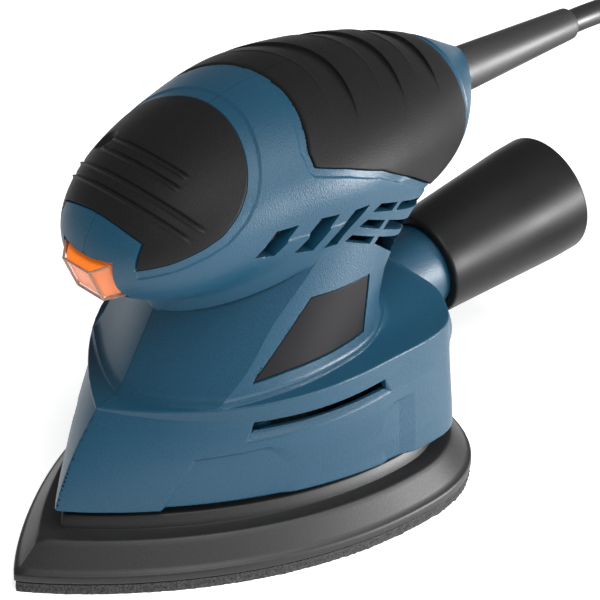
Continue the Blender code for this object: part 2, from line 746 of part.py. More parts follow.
def make_motor():
    axis = (0.0, MOTOR_Y, 0.0)
    core = turned("core", ((STATOR_RADIUS, 88.0), (STATOR_RADIUS, 60.0), (19.9, 60.0), (19.9, 88.0)), axis, sides=24)
    for middle in (0, 180):
        join(core, sector("pole", 14.2, 21.0, middle, 30, 60.0, 88.0))
    keep(core, "field_core", "lamination")

    for middle, name in ((0, "left"), (180, "right")):
        coil = sector("coil", 14.6, 19.5, middle, 66, 54.6, 93.4)
        cut(coil, sector("window", 10.0, 25.0, middle, 31.5, 59.7, 88.3))
        keep(coil, f"field_coil_{name}", "copper")

    profile = ((27.0, 49.9), (27.0, 47.4), (4.6, 47.4), (4.6, 48.9), (11.3, 48.9), (11.3, 54.2),
               (13.2, 54.2), (13.2, 49.9))
    keep(turned("plate", profile, axis, sides=24), "bearing_plate", "shroud_grey")
    lower = ((11.0, 54.2), (11.0, 49.2), (4.1, 49.2), (4.1, 54.2))
    keep(turned("bearing", lower, axis, sides=18), "lower_bearing", "steel")
    upper = ((8.0, 112.0), (8.0, 107.0), (3.2, 107.0), (3.2, 112.0))
    keep(turned("bearing", upper, axis, sides=18), "upper_bearing", "steel")

    for name, way in (("front", -1), ("rear", 1)):
        near, far = MOTOR_Y + way * 10.2, MOTOR_Y + way * 23.0
        low, high = min(near, far), max(near, far)
        holder = box("holder", (-4.6, low, 95.0), (4.6, high, 103.4))
        cut(holder, box("channel", (-3.4, low - 5, 96.2), (3.4, high + 5, 102.2)))
        keep(holder, f"brush_holder_{name}", "brass")
        tip, back = MOTOR_Y + way * 9.4, MOTOR_Y + way * 21.0
        brush = box("brush", (-3.1, min(tip, back), 96.5), (3.1, max(tip, back), 101.9))
        keep(brush, f"carbon_brush_{name}", "carbon")


def make_fan_shroud():
    axis = (0.0, MOTOR_Y, 0.0)
    shroud = turned("shroud", ((25.6, 46.4), (25.6, 31.2), (23.4, 31.2), (23.4, 44.4), (9.5, 44.4),
                               (9.5, 46.4)), axis, sides=24)
    start, end = tube_point(98.0), tube_point(117.0)
    join(shroud, cylinder("spout", start, end, 8.6, 16))
    cut(shroud, cylinder("spout_bore", tube_point(94.0), tube_point(122.0), 6.6, 16))
    cut(shroud, cylinder("swept", (0.0, MOTOR_Y, 25.0), (0.0, MOTOR_Y, 44.4), 23.3, 24))
    keep(shroud, "fan_shroud", "shroud_grey")


def make_adapter():
    """The hose adapter: a tapered cup that is pushed over the dust tube."""
    length = (ADAPTER_END - ADAPTER_START) / math.cos(TUBE_TILT)
    profile = ((17.7, length), (17.6, length - 8.0), (15.3, 5.0), (15.2, 2.6), (14.6, 0.6),
               (13.6, 0.0), (TUBE_RADIUS + GAP, 0.0), (TUBE_RADIUS + GAP, 14.4), (13.6, 15.0),
               (16.0, length))
    adapter = turned("adapter", profile, tube_point(ADAPTER_START), TUBE_DIRECTION, 24)
    keep(adapter, "dust_adapter", "gloss_black")


def make_cord_end():
    """The cord guard and its clamp, at the tail of the grip."""
    length = GUARD_END - GUARD_START
    profile = ((0.0, length), (4.6, length), (5.2, length - 0.6), (6.4, 29.0), (6.4, 26.0),
               (6.2, 21.5), (4.6, 21.5), (4.6, 0.0), (0.0, 0.0))
    guard = turned("guard", profile, (0.0, GUARD_START, GUARD_Z), (0, 1, 0), 20)
    keep(guard, "cord_guard", "rubber_black")

    clamp_y = GUARD_START + 5.2
    clamp_top = GUARD_Z + 5.6
    clamp = box("clamp", (-9.6, clamp_y - 3, GUARD_Z), (9.6, clamp_y + 3, clamp_top))
    cut(clamp, cylinder("saddle", (0.0, clamp_y - 7, GUARD_Z), (0.0, clamp_y + 7, GUARD_Z), 4.9, 20))
    for side, name in ((6.6, "left"), (-6.6, "right")):
        cut(clamp, cylinder("hole", (side, clamp_y, 90.0), (side, clamp_y, 110.0), 1.6, 12))
        profile = ((0.0, 1.8), (2.1, 1.8), (2.1, 0.0), (1.3, 0.0), (1.3, -9.0), (0.0, -9.6))
        screw = turned("screw", profile, (side, clamp_y, clamp_top + GAP), sides=12)
        keep(screw, f"clamp_screw_{name}", "steel")
    keep(clamp, "cord_clamp", "gloss_black")


def make_leads():
    """The two leads from the cord's end over the motor to the switch, and the capacitor."""
    for side, name, slot in ((1, "live", "lead_brown"), (-1, "neutral", "lead_blue")):
        route = ((side * 2.2, GUARD_START - 1.2, 98.5), (side * 6.0, 126.0, 100.0),
                 (side * 17.0, 118.0, 102.0), (side * 21.5, 104.0, 103.0), (side * 23.0, 90.0, 103.5),
                 (side * 21.5, 74.0, 103.5), (side * 15.0, 62.0, 102.0), (side * 8.0, 55.5, 99.0),
                 (side * 4.5, 50.3, 95.3))
        keep(tube_along(name, smooth_route(route, 8.0), 0.9, 1), f"lead_{name}", slot)
    keep(box("capacitor", (-9.0, 126.0, 83.5), (9.0, 138.0, 91.0)), "capacitor", "capacitor_yellow")


def make_cord():
    """The mains cord: a free stretch down to the floor, its coil there, and the plug."""
    radius = CORD_DIAMETER / 2
    coil_x, coil_y = COIL_CENTRE
    route = ((0.0, GUARD_END + GAP, 98.5), (0.0, 212.0, 98.3), (-0.6, 221.0, 97.0),
             (-2.4, 232.0, 92.0), (-5.5, 242.0, 82.0), (-10.0, 249.0, 68.0), (-15.0, 254.0, 52.0),
             (-19.5, 258.0, 37.0), (-23.2, 263.0, 24.5), (-25.3, 270.0, 15.6))
    keep(tube_along("cord", smooth_route(route, 14.0), radius, 4), "cord", "cord_black")

    top = 2 * radius + COIL_LAYER_RISE
    inner = COIL_MIDDLE_RADIUS - 4 * radius
    outer = COIL_MIDDLE_RADIUS + 4 * radius
    profile = ((outer - radius, top), (outer, top - 4.0), (outer, 2.0), (outer - 1.5, 0.0),
               (inner + 1.5, 0.0), (inner, 2.0), (inner, top - 4.0), (inner + radius, top))
    keep(turned("coil", profile, (coil_x, coil_y, 0.0), sides=28), "cord_coil", "cord_black")

    plug_x = coil_x + COIL_MIDDLE_RADIUS + 3 * radius
    plug_y = coil_y - 33.0
    rings = []
    for back, half_width, half_height in ((0.0, 4.5, 4.5), (18.0, 6.0, 5.6), (26.0, 12.0, 7.2),
                                          (32.0, 16.5, 7.8), (46.0, 17.5, 8.0), (50.0, 17.0, 7.6)):
        rings.append([])
        for k in range(20):
            angle = 2 * math.pi * (k + 0.5) / 20
            rings[-1].append((plug_x + half_width * math.cos(angle), plug_y - back,
                              8.0 + half_height * math.sin(angle)))
    keep(loft("plug", rings), "plug_body", "gloss_black")
    for side, name in ((9.5, "left"), (-9.5, "right")):
        start = (plug_x + side, plug_y - 50.0 - GAP, 8.0)
        end = (plug_x + side, plug_y - 69.0, 8.0)
        keep(cylinder("pin", start, end, 2.4, 16), f"plug_pin_{name}", "brass")


make_housing()
make_housing_screws()
make_switch()
make_pad()
make_posts()
make_rotor()
make_motor()
make_fan_shroud()
make_adapter()
make_cord_end()
make_leads()
make_cord()
for guide in list(CUTTERS.objects):
    bpy.data.objects.remove(guide, do_unlink=True)
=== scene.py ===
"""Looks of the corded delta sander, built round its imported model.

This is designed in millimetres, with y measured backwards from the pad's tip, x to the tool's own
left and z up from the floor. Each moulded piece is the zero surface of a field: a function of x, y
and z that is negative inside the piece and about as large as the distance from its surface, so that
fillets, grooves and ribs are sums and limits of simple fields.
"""

import math

import bmesh
import bpy
import numpy as np
from mathutils import Matrix, Vector


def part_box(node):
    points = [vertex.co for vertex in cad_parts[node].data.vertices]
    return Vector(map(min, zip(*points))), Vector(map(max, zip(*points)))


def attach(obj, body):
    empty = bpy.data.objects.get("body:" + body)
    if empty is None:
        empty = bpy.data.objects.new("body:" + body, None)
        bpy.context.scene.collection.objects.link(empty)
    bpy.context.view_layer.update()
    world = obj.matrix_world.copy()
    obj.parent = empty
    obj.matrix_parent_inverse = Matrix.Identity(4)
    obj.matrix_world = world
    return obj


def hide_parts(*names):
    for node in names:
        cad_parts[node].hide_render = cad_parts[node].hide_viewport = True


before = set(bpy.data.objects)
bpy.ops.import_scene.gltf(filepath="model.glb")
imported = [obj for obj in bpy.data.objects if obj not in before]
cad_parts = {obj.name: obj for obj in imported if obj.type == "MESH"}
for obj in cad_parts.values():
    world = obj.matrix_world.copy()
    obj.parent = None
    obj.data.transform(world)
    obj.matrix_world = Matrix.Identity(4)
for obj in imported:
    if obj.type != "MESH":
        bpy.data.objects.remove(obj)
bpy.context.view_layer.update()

MM = 0.001
GAP = 0.3

# ---- Sizes the frame gives ----

PAD_LOW, PAD_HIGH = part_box("hook_layer")
PAD_LENGTH = (PAD_HIGH[1] - PAD_LOW[1]) / MM
PAD_HALF_WIDTH = PAD_HIGH[0] / MM
PAD_WIDEST, PAD_HEEL = 99.0, 2.55
GUARD_END = (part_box("cord_guard")[1][1] - PAD_LOW[1]) / MM
CENTRE_Y = -PAD_LOW[1] / MM

# ---- The housing's shape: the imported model's, with the neck's rear and the collar refined ----

EGG_FRONT, EGG_REAR = 26.7, 160.0
EGG_WIDEST = 0.55  # the share of a section's height at which it is widest
EGG_ROWS = (  # half width, top and bottom, at equal turns from nose to tail
    (0.0, 88.5, 88.5),
    (15.0, 101.5, 80.0),
    (25.2, 112.5, 74.0),
    (31.0, 120.0, 72.2),
    (35.0, 123.0, 72.8),
    (30.2, 121.0, 72.4),
    (21.0, 115.3, 75.0),
    (9.7, 108.0, 84.0),
    (0.0, 104.0, 104.0),
)
COLLAR_CENTRE_Y, COLLAR_HALF_WIDTH, COLLAR_REACH = 85.4, 30.0, 36.0
COLLAR_LIP = (49.4, 67.2, 0.47)  # the lip's front y and z, and its rise backwards
COLLAR_FLARE = 0.35  # how much it widens with height

SKIRT_BOTTOM, SKIRT_REAR, SKIRT_HEEL = 19.0, 127.5, 4.0
SKIRT_ROWS = ((19.0, 104.0, 43.0, 2.0), (26.0, 102.0, 43.0, 2.1), (34.0, 100.0, 42.6, 2.3),
              (42.0, 98.0, 42.2, 2.45), (46.0, 97.0, 42.2, 2.6), (56.0, 96.0, 42.2, 2.8))
ROOF_LINE = ((24.0, 44.2), (36.0, 46.1), (50.0, 48.2), (64.0, 50.0), (80.0, 51.2), (96.0, 51.8),
             (130.0, 52.2))
HUMP_HALF_WIDTH, HUMP_AXIS, HUMP_RISE = 33.0, 44.0, 13.0
NECK_REAR = ((42.0, 114.0), (52.0, 112.5), (63.0, 111.5), (71.0, 112.5), (78.0, 117.0), (86.0, 127.0),
             (92.0, 132.0))
NECK_BOTTOM, NECK_TOP = 42.0, 96.0
FLANGE = 0.8  # how far the neck's foot stands out

TUBE_TILT = math.radians(5.1)
TUBE_ANCHOR = (148.4, 41.6)  # y and z of a point on the dust tube's axis
TUBE_RADIUS, TUBE_BORE, TUBE_END = 12.4, 10.2, 159.0
ADAPTER_START, ADAPTER_END = 146.0, 196.5

MOTOR_Y = 80.0
MOTOR_ROOMS = ((77.0, 27.0, 22.9), (106.0, 6.3, 8.3), (40.3, 10.3, 27.4))  # middle, half height, radius
STATOR_PLATES = (64.0, 84.0)
BEARING_CUP = (104.2, 10.8)  # its lower end and its radius
SCREW_BOSS, POST_BOSS, POST_BOSS_TOP = 3.6, 5.2, 30.0
POST_PLACES = ((24.0, 62.0), (30.0, 108.0))
GUARD_START, GUARD_Z, GUARD_HOLE = 133.0, 98.5, 6.9
WALL, THINNEST_WALL = 2.2, 1.4
GRIP_DEPTH = 1.6
LABEL_DEPTH = 0.8
BORDER_DEPTH = 0.35  # of the sunken line round each grip
PANEL_DEPTH = 0.7  # of the sunken panel on each side of the skirt
SILL_DEPTH = 1.6  # of the bevel below the skirt's slot
SEAM = 0.12  # the visible gap between the two shells

# Side outlines, as (y, z).
FRONT_GRIP = ((20.0, 89.6), (31.9, 91.6), (39.0, 93.7), (46.0, 96.6), (51.0, 99.2), (56.0, 103.4),
              (60.0, 107.8), (62.8, 111.6), (65.7, 115.7), (67.9, 118.7), (70.5, 122.0), (72.0, 132.0),
              (20.0, 132.0))
NOSE_PIECE = (15.1, 98.5, 3.4)  # the blue nose: its half width, its height there and its rise
REAR_GRIP = ((88.0, 123.6), (86.2, 121.4), (84.8, 119.6), (82.1, 116.3), (79.5, 112.5), (79.2, 109.6),
             (87.6, 107.5), (98.4, 103.6), (109.3, 97.1), (122.7, 87.8), (133.0, 79.0), (143.5, 70.0),
             (143.5, 132.0), (88.0, 132.0))
LABEL = ((77.0, 72.5), (94.8, 73.5), (93.0, 56.9), (84.7, 56.3), (74.4, 55.6), (67.3, 54.9),
         (58.8, 53.4))
VENT_SLOTS = (
    ((60.2, 89.8), (66.0, 88.5), (71.8, 96.5), (65.4, 96.6)),
    ((71.8, 87.6), (77.6, 86.4), (83.9, 96.1), (78.2, 96.6)),
    ((81.2, 85.6), (85.6, 85.2), (93.9, 95.3), (88.9, 95.6)),
    ((95.6, 92.0), (98.4, 93.7), (119.0, 86.6), (118.0, 84.4)),
    ((91.9, 88.5), (94.6, 90.0), (113.0, 82.6), (112.0, 79.8)),
    ((87.9, 85.3), (90.2, 86.6), (108.5, 79.6), (107.0, 73.8), (97.2, 81.7)),
)
SKIRT_SLOT = ((55.3, 40.1), (93.8, 42.6), (92.8, 46.3), (56.4, 43.6))
SLOT_SILL = ((53.8, 37.4), (95.5, 41.3), (92.9, 46.4), (56.4, 43.6))
VENT_BAR = ((105.8, 91.2), (96.6, 82.6), 0.7)  # both ends and half the width of the bar across the vents
SKIRT_PANEL = ((33.0, 15.0), (43.0, 33.6), (60.0, 35.6), (80.0, 36.9), (120.0, 38.0), (120.0, 15.0))
PANEL_RUN_OUT = (98.5, 103.5)  # where the panel slopes back up to the skirt's skin
SCREW_PLACES = ((53.0, 79.5, 13.0), (36.0, 33.0, 9.0), (109.0, 60.0, 13.0), (124.0, 80.0, 13.0))
SWITCH_Y, SWITCH_Z = 30.9, 86.2
SWITCH_TILT = math.radians(24.0)
SWITCH_HOLES = ((9.7, 6.8, 0.4, 8.6), (8.0, 6.0, -15.0, 7.0))  # half width and height, middle, half depth

# Relief on the grips.
RIB_PLANES = ((150.6, 15.0), (145.6, 15.5), (138.2, 24.6), (132.8, 23.3))  # y + 0.91 z, half width
RIB_SLOPE = 0.91
RIB_HEIGHT, RIB_REACH = 0.52, 0.40
RIB_GROOVE = (0.45, 0.36, 0.75)  # its depth and reach, and how far it lies behind the rib
DIMPLE = ((-18.2, 4.2), (49.6, 3.4), (110.0, 5.0))  # centre and half size along x, y and z
DIMPLE_DEPTH = 1.25
WAVES = ((97.0, 104.8, 30.0), (115.3, 122.2, 27.5), (129.4, 136.3, 23.0))  # front, rear, half width
WAVE_SWEEP = 0.0112
WAVE_DEPTH, WAVE_LIP = 1.05, 0.12

# ---- The cord ----

CORD_DIAMETER = 7.0
COIL_CENTRE = (19.0, 303.0)
CORD_ROUTE = ((0.0, GUARD_END + GAP, 98.5), (0.0, 212.0, 98.3), (-0.6, 221.0, 97.0),
              (-2.4, 232.0, 92.0), (-5.5, 242.0, 82.0), (-10.0, 249.0, 68.0), (-15.0, 254.0, 52.0),
              (-19.5, 258.0, 37.0), (-23.2, 263.0, 24.5), (-25.3, 270.0, 15.6))
PLUG_X = 68.0
PLUG_REAR = 270.0
PLUG_Z = 8.0

# ---- Picture ----

CAMERA_PLACE = (0.527925, -0.478606, 0.480121)
CAMERA_ANGLES = (58.775, 0.0, 47.849)  # degrees
CAMERA_LENS = 183.31


def place(x, y, z):
    """Turn a design point, in millimetres, into the frame's metres."""
    return Vector((x, y - CENTRE_Y, z)) * MM


# ---- Materials ----

def node(tree, kind, **values):
    """Add a node and set its sockets by name; the names' spaces are written as underscores."""
    made = tree.nodes.new(kind)
    for name, value in values.items():
        made.inputs[name.replace("_", " ")].default_value = value
    return made


def new_material(name, roughness, metallic=0.0, coat=0.0):
    made = bpy.data.materials.new(name)
    made.use_nodes = True
    shader = made.node_tree.nodes["Principled BSDF"]
    shader.inputs["Metallic"].default_value = metallic
    shader.inputs["Roughness"].default_value = roughness
    shader.inputs["Coat Weight"].default_value = coat
    return made, made.node_tree, shader


def noise(tree, scale, detail=2.0, stretch=(1.0, 1.0, 1.0)):
    """Noise in the piece's own space. The scale is in grains per metre."""
    coordinates = tree.nodes.new("ShaderNodeTexCoord")
    mapping = node(tree, "ShaderNodeMapping", Scale=stretch)
    texture = node(tree, "ShaderNodeTexNoise", Scale=scale, Detail=detail)
    tree.links.new(coordinates.outputs["Object"], mapping.inputs["Vector"])
    tree.links.new(mapping.outputs["Vector"], texture.inputs["Vector"])
    return texture


def spread(tree, texture, low, high):
    """Turn a texture's factor into a value between two others."""
    mapped = node(tree, "ShaderNodeMapRange", From_Min=0.3, From_Max=0.7, To_Min=low, To_Max=high)
    tree.links.new(texture.outputs["Fac"], mapped.inputs["Value"])
    return mapped.outputs["Result"]


def colours(tree, texture, low, high, shader):
    ramp = tree.nodes.new("ShaderNodeValToRGB")
    ramp.color_ramp.elements[0].position = 0.32
    ramp.color_ramp.elements[1].position = 0.68
    ramp.color_ramp.elements[0].color = (*low, 1.0)
    ramp.color_ramp.elements[1].color = (*high, 1.0)
    tree.links.new(texture.outputs["Fac"], ramp.inputs["Fac"])
    tree.links.new(ramp.outputs["Color"], shader.inputs["Base Color"])


def grain(tree, shader, layers):
    """Chain bump layers of (texture, height in metres, strength)."""
    normal = None
    for texture, height, strength in layers:
        bump = node(tree, "ShaderNodeBump", Distance=height, Strength=strength)
        tree.links.new(texture.outputs["Fac"], bump.inputs["Height"])
        if normal:
            tree.links.new(normal, bump.inputs["Normal"])
        normal = bump.outputs["Normal"]
    tree.links.new(normal, shader.inputs["Normal"])


def moulded(name, low, high, roughness, grain_scale, grain_height, coat=0.0, mirror=0.5):
    """Moulded plastic or rubber: a spark-eroded grain, uneven gloss and slightly uneven colour."""
    made, tree, shader = new_material(name, 0.5, coat=coat)
    shader.inputs["Specular IOR Level"].default_value = mirror
    fine = noise(tree, grain_scale, 3.0)
    broad = noise(tree, grain_scale / 60.0, 2.0)
    colours(tree, fine, low, high, shader)
    tree.links.new(spread(tree, broad, *roughness), shader.inputs["Roughness"])
    grain(tree, shader, ((fine, grain_height, 0.9), (broad, grain_height, 0.2)))
    return made


def painted_glow(made, colour, strength):
    """Paint light into a material: an emission that makes it glow and look brighter, though it is no
    lamp.
    """
    shader = made.node_tree.nodes["Principled BSDF"]
    shader.inputs["Emission Color"].default_value = (*colour, 1.0)
    shader.inputs["Emission Strength"].default_value = strength


def metal(name, low, high, roughness, scale, stretch):
    """Turned, drawn or ground metal, with fine lines one way."""
    made, tree, shader = new_material(name, 0.3, metallic=1.0)
    lines = noise(tree, scale, 4.0, stretch)
    colours(tree, lines, low, high, shader)
    tree.links.new(spread(tree, lines, *roughness), shader.inputs["Roughness"])
    grain(tree, shader, ((lines, 0.00002, 0.4),))
    return made


def banded(name, low, high, roughness, direction, scale, metallic):
    """Stacked sheets or wound wire: fine regular bands."""
    made, tree, shader = new_material(name, roughness, metallic=metallic)
    coordinates = tree.nodes.new("ShaderNodeTexCoord")
    wave = node(tree, "ShaderNodeTexWave", Scale=scale, Distortion=0.6, Detail=1.0)
    wave.bands_direction = direction
    tree.links.new(coordinates.outputs["Object"], wave.inputs["Vector"])
    colours(tree, wave, low, high, shader)
    grain(tree, shader, ((wave, 0.00008, 0.7),))
    return made


def clear_boot():
    """The soft, slightly brown cover of the switch."""
    made, tree, shader = new_material("boot_clear", 0.2)
    shader.inputs["Alpha"].default_value = 0.22
    cloud = noise(tree, 260.0, 2.0)
    colours(tree, cloud, (0.52, 0.28, 0.16), (0.64, 0.38, 0.24), shader)
    grain(tree, shader, ((cloud, 0.0001, 0.35),))
    return made


BLUE = moulded("body_blue", (0.005, 0.052, 0.096), (0.010, 0.070, 0.126), (0.38, 0.46), 2600.0, 0.00011,
               mirror=0.38)
GRIP = moulded("grip_black", (0.008, 0.008, 0.0085), (0.014, 0.014, 0.015), (0.46, 0.56), 2800.0, 0.00013,
               mirror=0.13)
PAD_BLACK = moulded("pad_black", (0.009, 0.009, 0.0095), (0.013, 0.013, 0.0135), (0.44, 0.54), 1500.0,
                    0.00003, mirror=0.42)
ADAPTER_BLACK = moulded("adapter_black", (0.010, 0.010, 0.0105), (0.014, 0.014, 0.0145), (0.34, 0.44),
                        2200.0, 0.00003, mirror=0.13)
LABEL_GREY = moulded("label_grey", (0.010, 0.0095, 0.011), (0.013, 0.0125, 0.0145), (0.42, 0.52), 3000.0,
                     0.00001, mirror=0.14)
ORANGE = moulded("switch_orange", (0.95, 0.18, 0.012), (1.0, 0.24, 0.02), (0.25, 0.35), 1500.0, 0.00002,
                 coat=0.3)
# painted glow: the rocker gets a faint orange emission that brightens it where it sits in shade
painted_glow(ORANGE, (1.0, 0.2, 0.012), 0.3)
BOOT_EDGE = moulded("boot_edge", (0.26, 0.13, 0.085), (0.38, 0.21, 0.145), (0.22, 0.32), 1500.0, 0.00002)
RUBBER = moulded("rubber_black", (0.022, 0.022, 0.023), (0.030, 0.030, 0.031), (0.42, 0.55), 1800.0,
                 0.00004)
CORD_BLACK = moulded("cord_black", (0.012, 0.012, 0.013), (0.018, 0.018, 0.019), (0.38, 0.50), 1600.0,
                     0.00003)
GREY = moulded("shroud_grey", (0.36, 0.37, 0.35), (0.44, 0.44, 0.42), (0.40, 0.52), 1500.0, 0.00003)
BROWN = moulded("lead_brown", (0.13, 0.045, 0.015), (0.17, 0.06, 0.02), (0.35, 0.5), 1500.0, 0.00002)
LEAD_BLUE = moulded("lead_blue", (0.02, 0.09, 0.42), (0.03, 0.12, 0.5), (0.35, 0.5), 1500.0, 0.00002)
YELLOW = moulded("capacitor_yellow", (0.70, 0.44, 0.04), (0.78, 0.52, 0.06), (0.3, 0.4), 900.0, 0.00002)
CARBON = moulded("carbon", (0.02, 0.02, 0.022), (0.045, 0.045, 0.05), (0.5, 0.65), 2500.0, 0.00003)
STEEL = metal("steel", (0.45, 0.45, 0.46), (0.62, 0.62, 0.64), (0.22, 0.38), 900.0, (1.0, 1.0, 14.0))
BRASS = metal("brass", (0.66, 0.47, 0.20), (0.80, 0.61, 0.30), (0.22, 0.36), 900.0, (1.0, 14.0, 1.0))
LAMINATION = banded("lamination", (0.13, 0.13, 0.14), (0.34, 0.34, 0.36), 0.42, "Z", 320.0, 1.0)
COPPER = banded("copper", (0.42, 0.15, 0.06), (0.80, 0.38, 0.20), 0.34, "DIAGONAL", 260.0, 1.0)
BOOT = clear_boot()


def hook_material():
    """Black hook pile on foam: rough, speckled and without gloss."""
    made, tree, shader = new_material("hook_black", 0.9)
    pile = noise(tree, 1500.0, 4.0)
    clumps = noise(tree, 350.0, 3.0)
    colours(tree, pile, (0.008, 0.008, 0.009), (0.055, 0.055, 0.058), shader)
    grain(tree, shader, ((pile, 0.0004, 0.9), (clumps, 0.0005, 0.5)))
    return made


HOOK = hook_material()


# ---- Fields ----

def lower(a, b, width):
    """The lower of two fields, with a fillet: this joins two bodies."""
    mix = np.clip(0.5 + 0.5 * (b - a) / width, 0.0, 1.0)
    return b + (a - b) * mix - width * mix * (1.0 - mix)


def upper(a, b, width):
    """The higher of two fields, with a rounded edge: this keeps what two bodies share."""
    return -lower(-a, -b, width)


def without(body, tool):
    """A body less a tool."""
    return np.maximum(body, -tool)


def ease(value, start, end):
    """A smooth step from 0 at start to 1 at end."""
    t = np.clip((value - start) / (end - start), 0.0, 1.0)
    return t * t * (3.0 - 2.0 * t)


def between(rows, turn):
    """Read a smooth curve through evenly spaced rows, at a turn from 0 to 1."""
    last = len(rows) - 1
    position = min(max(turn, 0.0), 1.0) * last
    k = min(int(position), last - 1)
    t = position - k
    values = []
    for column in range(len(rows[0])):
        b, c = rows[k][column], rows[k + 1][column]
        a = rows[k - 1][column] if k > 0 else 2 * b - c
        d = rows[k + 2][column] if k + 2 <= last else 2 * c - b
        values.append(b + 0.5 * t * (c - a + t * (2 * a - 5 * b + 4 * c - d
                                                  + t * (3 * (b - c) + d - a))))
    return values


EGG_SAMPLES = 241
EGG_MIDDLE = (EGG_FRONT + EGG_REAR) / 2
EGG_TURNS = np.linspace(0.0, 1.0, EGG_SAMPLES)
EGG_Y = EGG_MIDDLE - (EGG_REAR - EGG_FRONT) / 2 * np.cos(np.pi * EGG_TURNS)
EGG_HALF, EGG_TOP, EGG_BOTTOM = np.array([between(EGG_ROWS, turn) for turn in EGG_TURNS]).T
EGG_LEVEL = EGG_BOTTOM + EGG_WIDEST * (EGG_TOP - EGG_BOTTOM)
EGG_INNER = slice(6, EGG_SAMPLES - 6)  # the poles themselves have no height


def oval(across, along, half_width, length, power):
    """Distance from a superellipse, from the shares of its half width and its length that are used."""
    blend = np.maximum(across ** power + along ** power, 1e-6)
    size = blend ** (1.0 / power - 1.0) * np.sqrt((across ** (power - 1.0) / half_width) ** 2
                                                  + (along ** (power - 1.0) / length) ** 2)
    return (blend ** (1.0 / power) - 1.0) / np.maximum(size, 0.004)


def egg(x, y, z):
    """The hand grip: elliptic sections along y. Its square form stays smooth at the poles."""
    half_square = np.interp(y, EGG_Y, EGG_HALF ** 2)
    start_slope = EGG_HALF[8] ** 2 / (EGG_Y[8] - EGG_Y[0])
    end_slope = EGG_HALF[-9] ** 2 / (EGG_Y[-1] - EGG_Y[-9])
    half_square = half_square + start_slope * np.minimum(y - EGG_Y[0], 0.0)
    half_square = half_square - end_slope * np.maximum(y - EGG_Y[-1], 0.0)
    slope = np.gradient(EGG_HALF ** 2, EGG_Y)
    across = np.interp(y, EGG_Y[EGG_INNER], slope[EGG_INNER]) / 2.0
    level = np.interp(y, EGG_Y, EGG_LEVEL)
    inner_y = EGG_Y[EGG_INNER]
    rise = np.interp(y, inner_y, (EGG_HALF / np.maximum(EGG_TOP - EGG_LEVEL, 0.01))[EGG_INNER])
    fall = np.interp(y, inner_y, (EGG_HALF / np.maximum(EGG_LEVEL - EGG_BOTTOM, 0.01))[EGG_INNER])
    squeeze = np.where(z > level, rise, fall)
    height = (z - level) * squeeze
    size = 2.0 * np.sqrt(x * x + (height * squeeze) ** 2 + across * across)
    return (x * x + height * height - half_square) / np.maximum(size, 6.0)


def collar(x, y, z):
    """The band under the grip's front: a pointed oval with a sloping lip, wider towards its top."""
    front, low, rise = COLLAR_LIP
    above = z - low - rise * (y - front)
    across = np.abs(x) / COLLAR_HALF_WIDTH
    ahead = np.abs(y - COLLAR_CENTRE_Y) / COLLAR_REACH
    wall = oval(across, ahead, COLLAR_HALF_WIDTH, COLLAR_REACH, 1.6) - COLLAR_FLARE * above
    return np.maximum(np.maximum(wall * 0.94, -above * 0.9), z - 92.0)


def neck(x, y, z):
    """A pointed front that leans back, two flat sides and a rounded rear. The sides and the front
    meet on a crease."""
    front = 36.9 + 0.605 * (z - 46.0)
    crease_y = 50.0 + 0.94 * (z - 48.2) - 1.6 * ease(z, 54.0, 70.0)
    crease_x = 26.0 + 0.096 * (z - 48.2)
    reach = front + (crease_y - front) * (np.abs(x) / crease_x) ** 1.35
    nose = (reach - y) * 0.72
    widest = 82.0 + 0.6 * (z - 56.0)
    half_width = 34.3 - 0.05 * (z - 56.0)
    side = np.abs(x) - half_width + 0.012 * (y - widest) ** 2
    side = side / np.sqrt(1.0 + (0.024 * (y - widest)) ** 2)
    heights, rears = np.array(NECK_REAR).T
    depth = np.interp(z, heights, rears) - widest
    rear = oval(np.abs(x) / half_width, np.maximum(y - widest, 0.0) / depth, half_width, depth, 2.6)
    return np.maximum(nose, np.where(y < widest, side, rear))


def iron(x, y, front, widest, rear, half_width, nose, tip, heel):
    """An iron's sole, as a distance: a pointed nose, full sides and a blunt heel."""
    across = np.maximum(np.abs(x), 0.02) / half_width
    ahead = np.maximum((widest - y) / (widest - front), 0.0)
    behind = np.maximum((y - widest) / (rear - widest), 0.0)
    fore = across ** tip + ahead ** nose - 1.0
    fore_size = np.sqrt((tip * across ** (tip - 1.0) / half_width) ** 2
                        + (nose * ahead ** (nose - 1.0) / (widest - front)) ** 2)
    aft = oval(across, behind, half_width, rear - widest, heel)
    return np.where(y < widest, fore / np.maximum(fore_size, 0.004), aft)


def skirt_front(z):
    """Where the skirt's front edge is at a height: it leans back more and more."""
    rise = np.minimum(z, ROOF_LINE[0][1]) - SKIRT_BOTTOM
    return 14.4 + 0.30 * rise + 0.0117 * rise * rise


def skirt_side(x, y, z, inset=0.0):
    heights, widest, half_width, nose = np.array(SKIRT_ROWS).T
    return iron(x, y, skirt_front(z) + 2 * inset, np.interp(z, heights, widest), SKIRT_REAR - inset,
                np.interp(z, heights, half_width) - inset, np.interp(z, heights, nose), 1.1, SKIRT_HEEL)


def above_roof(y, z):
    ys, zs = np.array(ROOF_LINE).T
    return z - np.interp(y, ys, zs)


def skirt(x, y, z, inset=0.0):
    return upper(skirt_side(x, y, z, inset), above_roof(y, z) + inset, 0.6)


def hump(x, y, z, inset=0.0):
    half_width, rise = HUMP_HALF_WIDTH - inset, HUMP_RISE - inset
    dz = z - HUMP_AXIS
    size = 2.0 * np.sqrt((x / half_width ** 2) ** 2 + (dz / rise ** 2) ** 2)
    arch = ((x / half_width) ** 2 + (dz / rise) ** 2 - 1.0) / np.maximum(size, 0.01)
    return upper(upper(arch, y - SKIRT_REAR + 0.8 + inset, 3.0), 98.0 - y, 8.0)


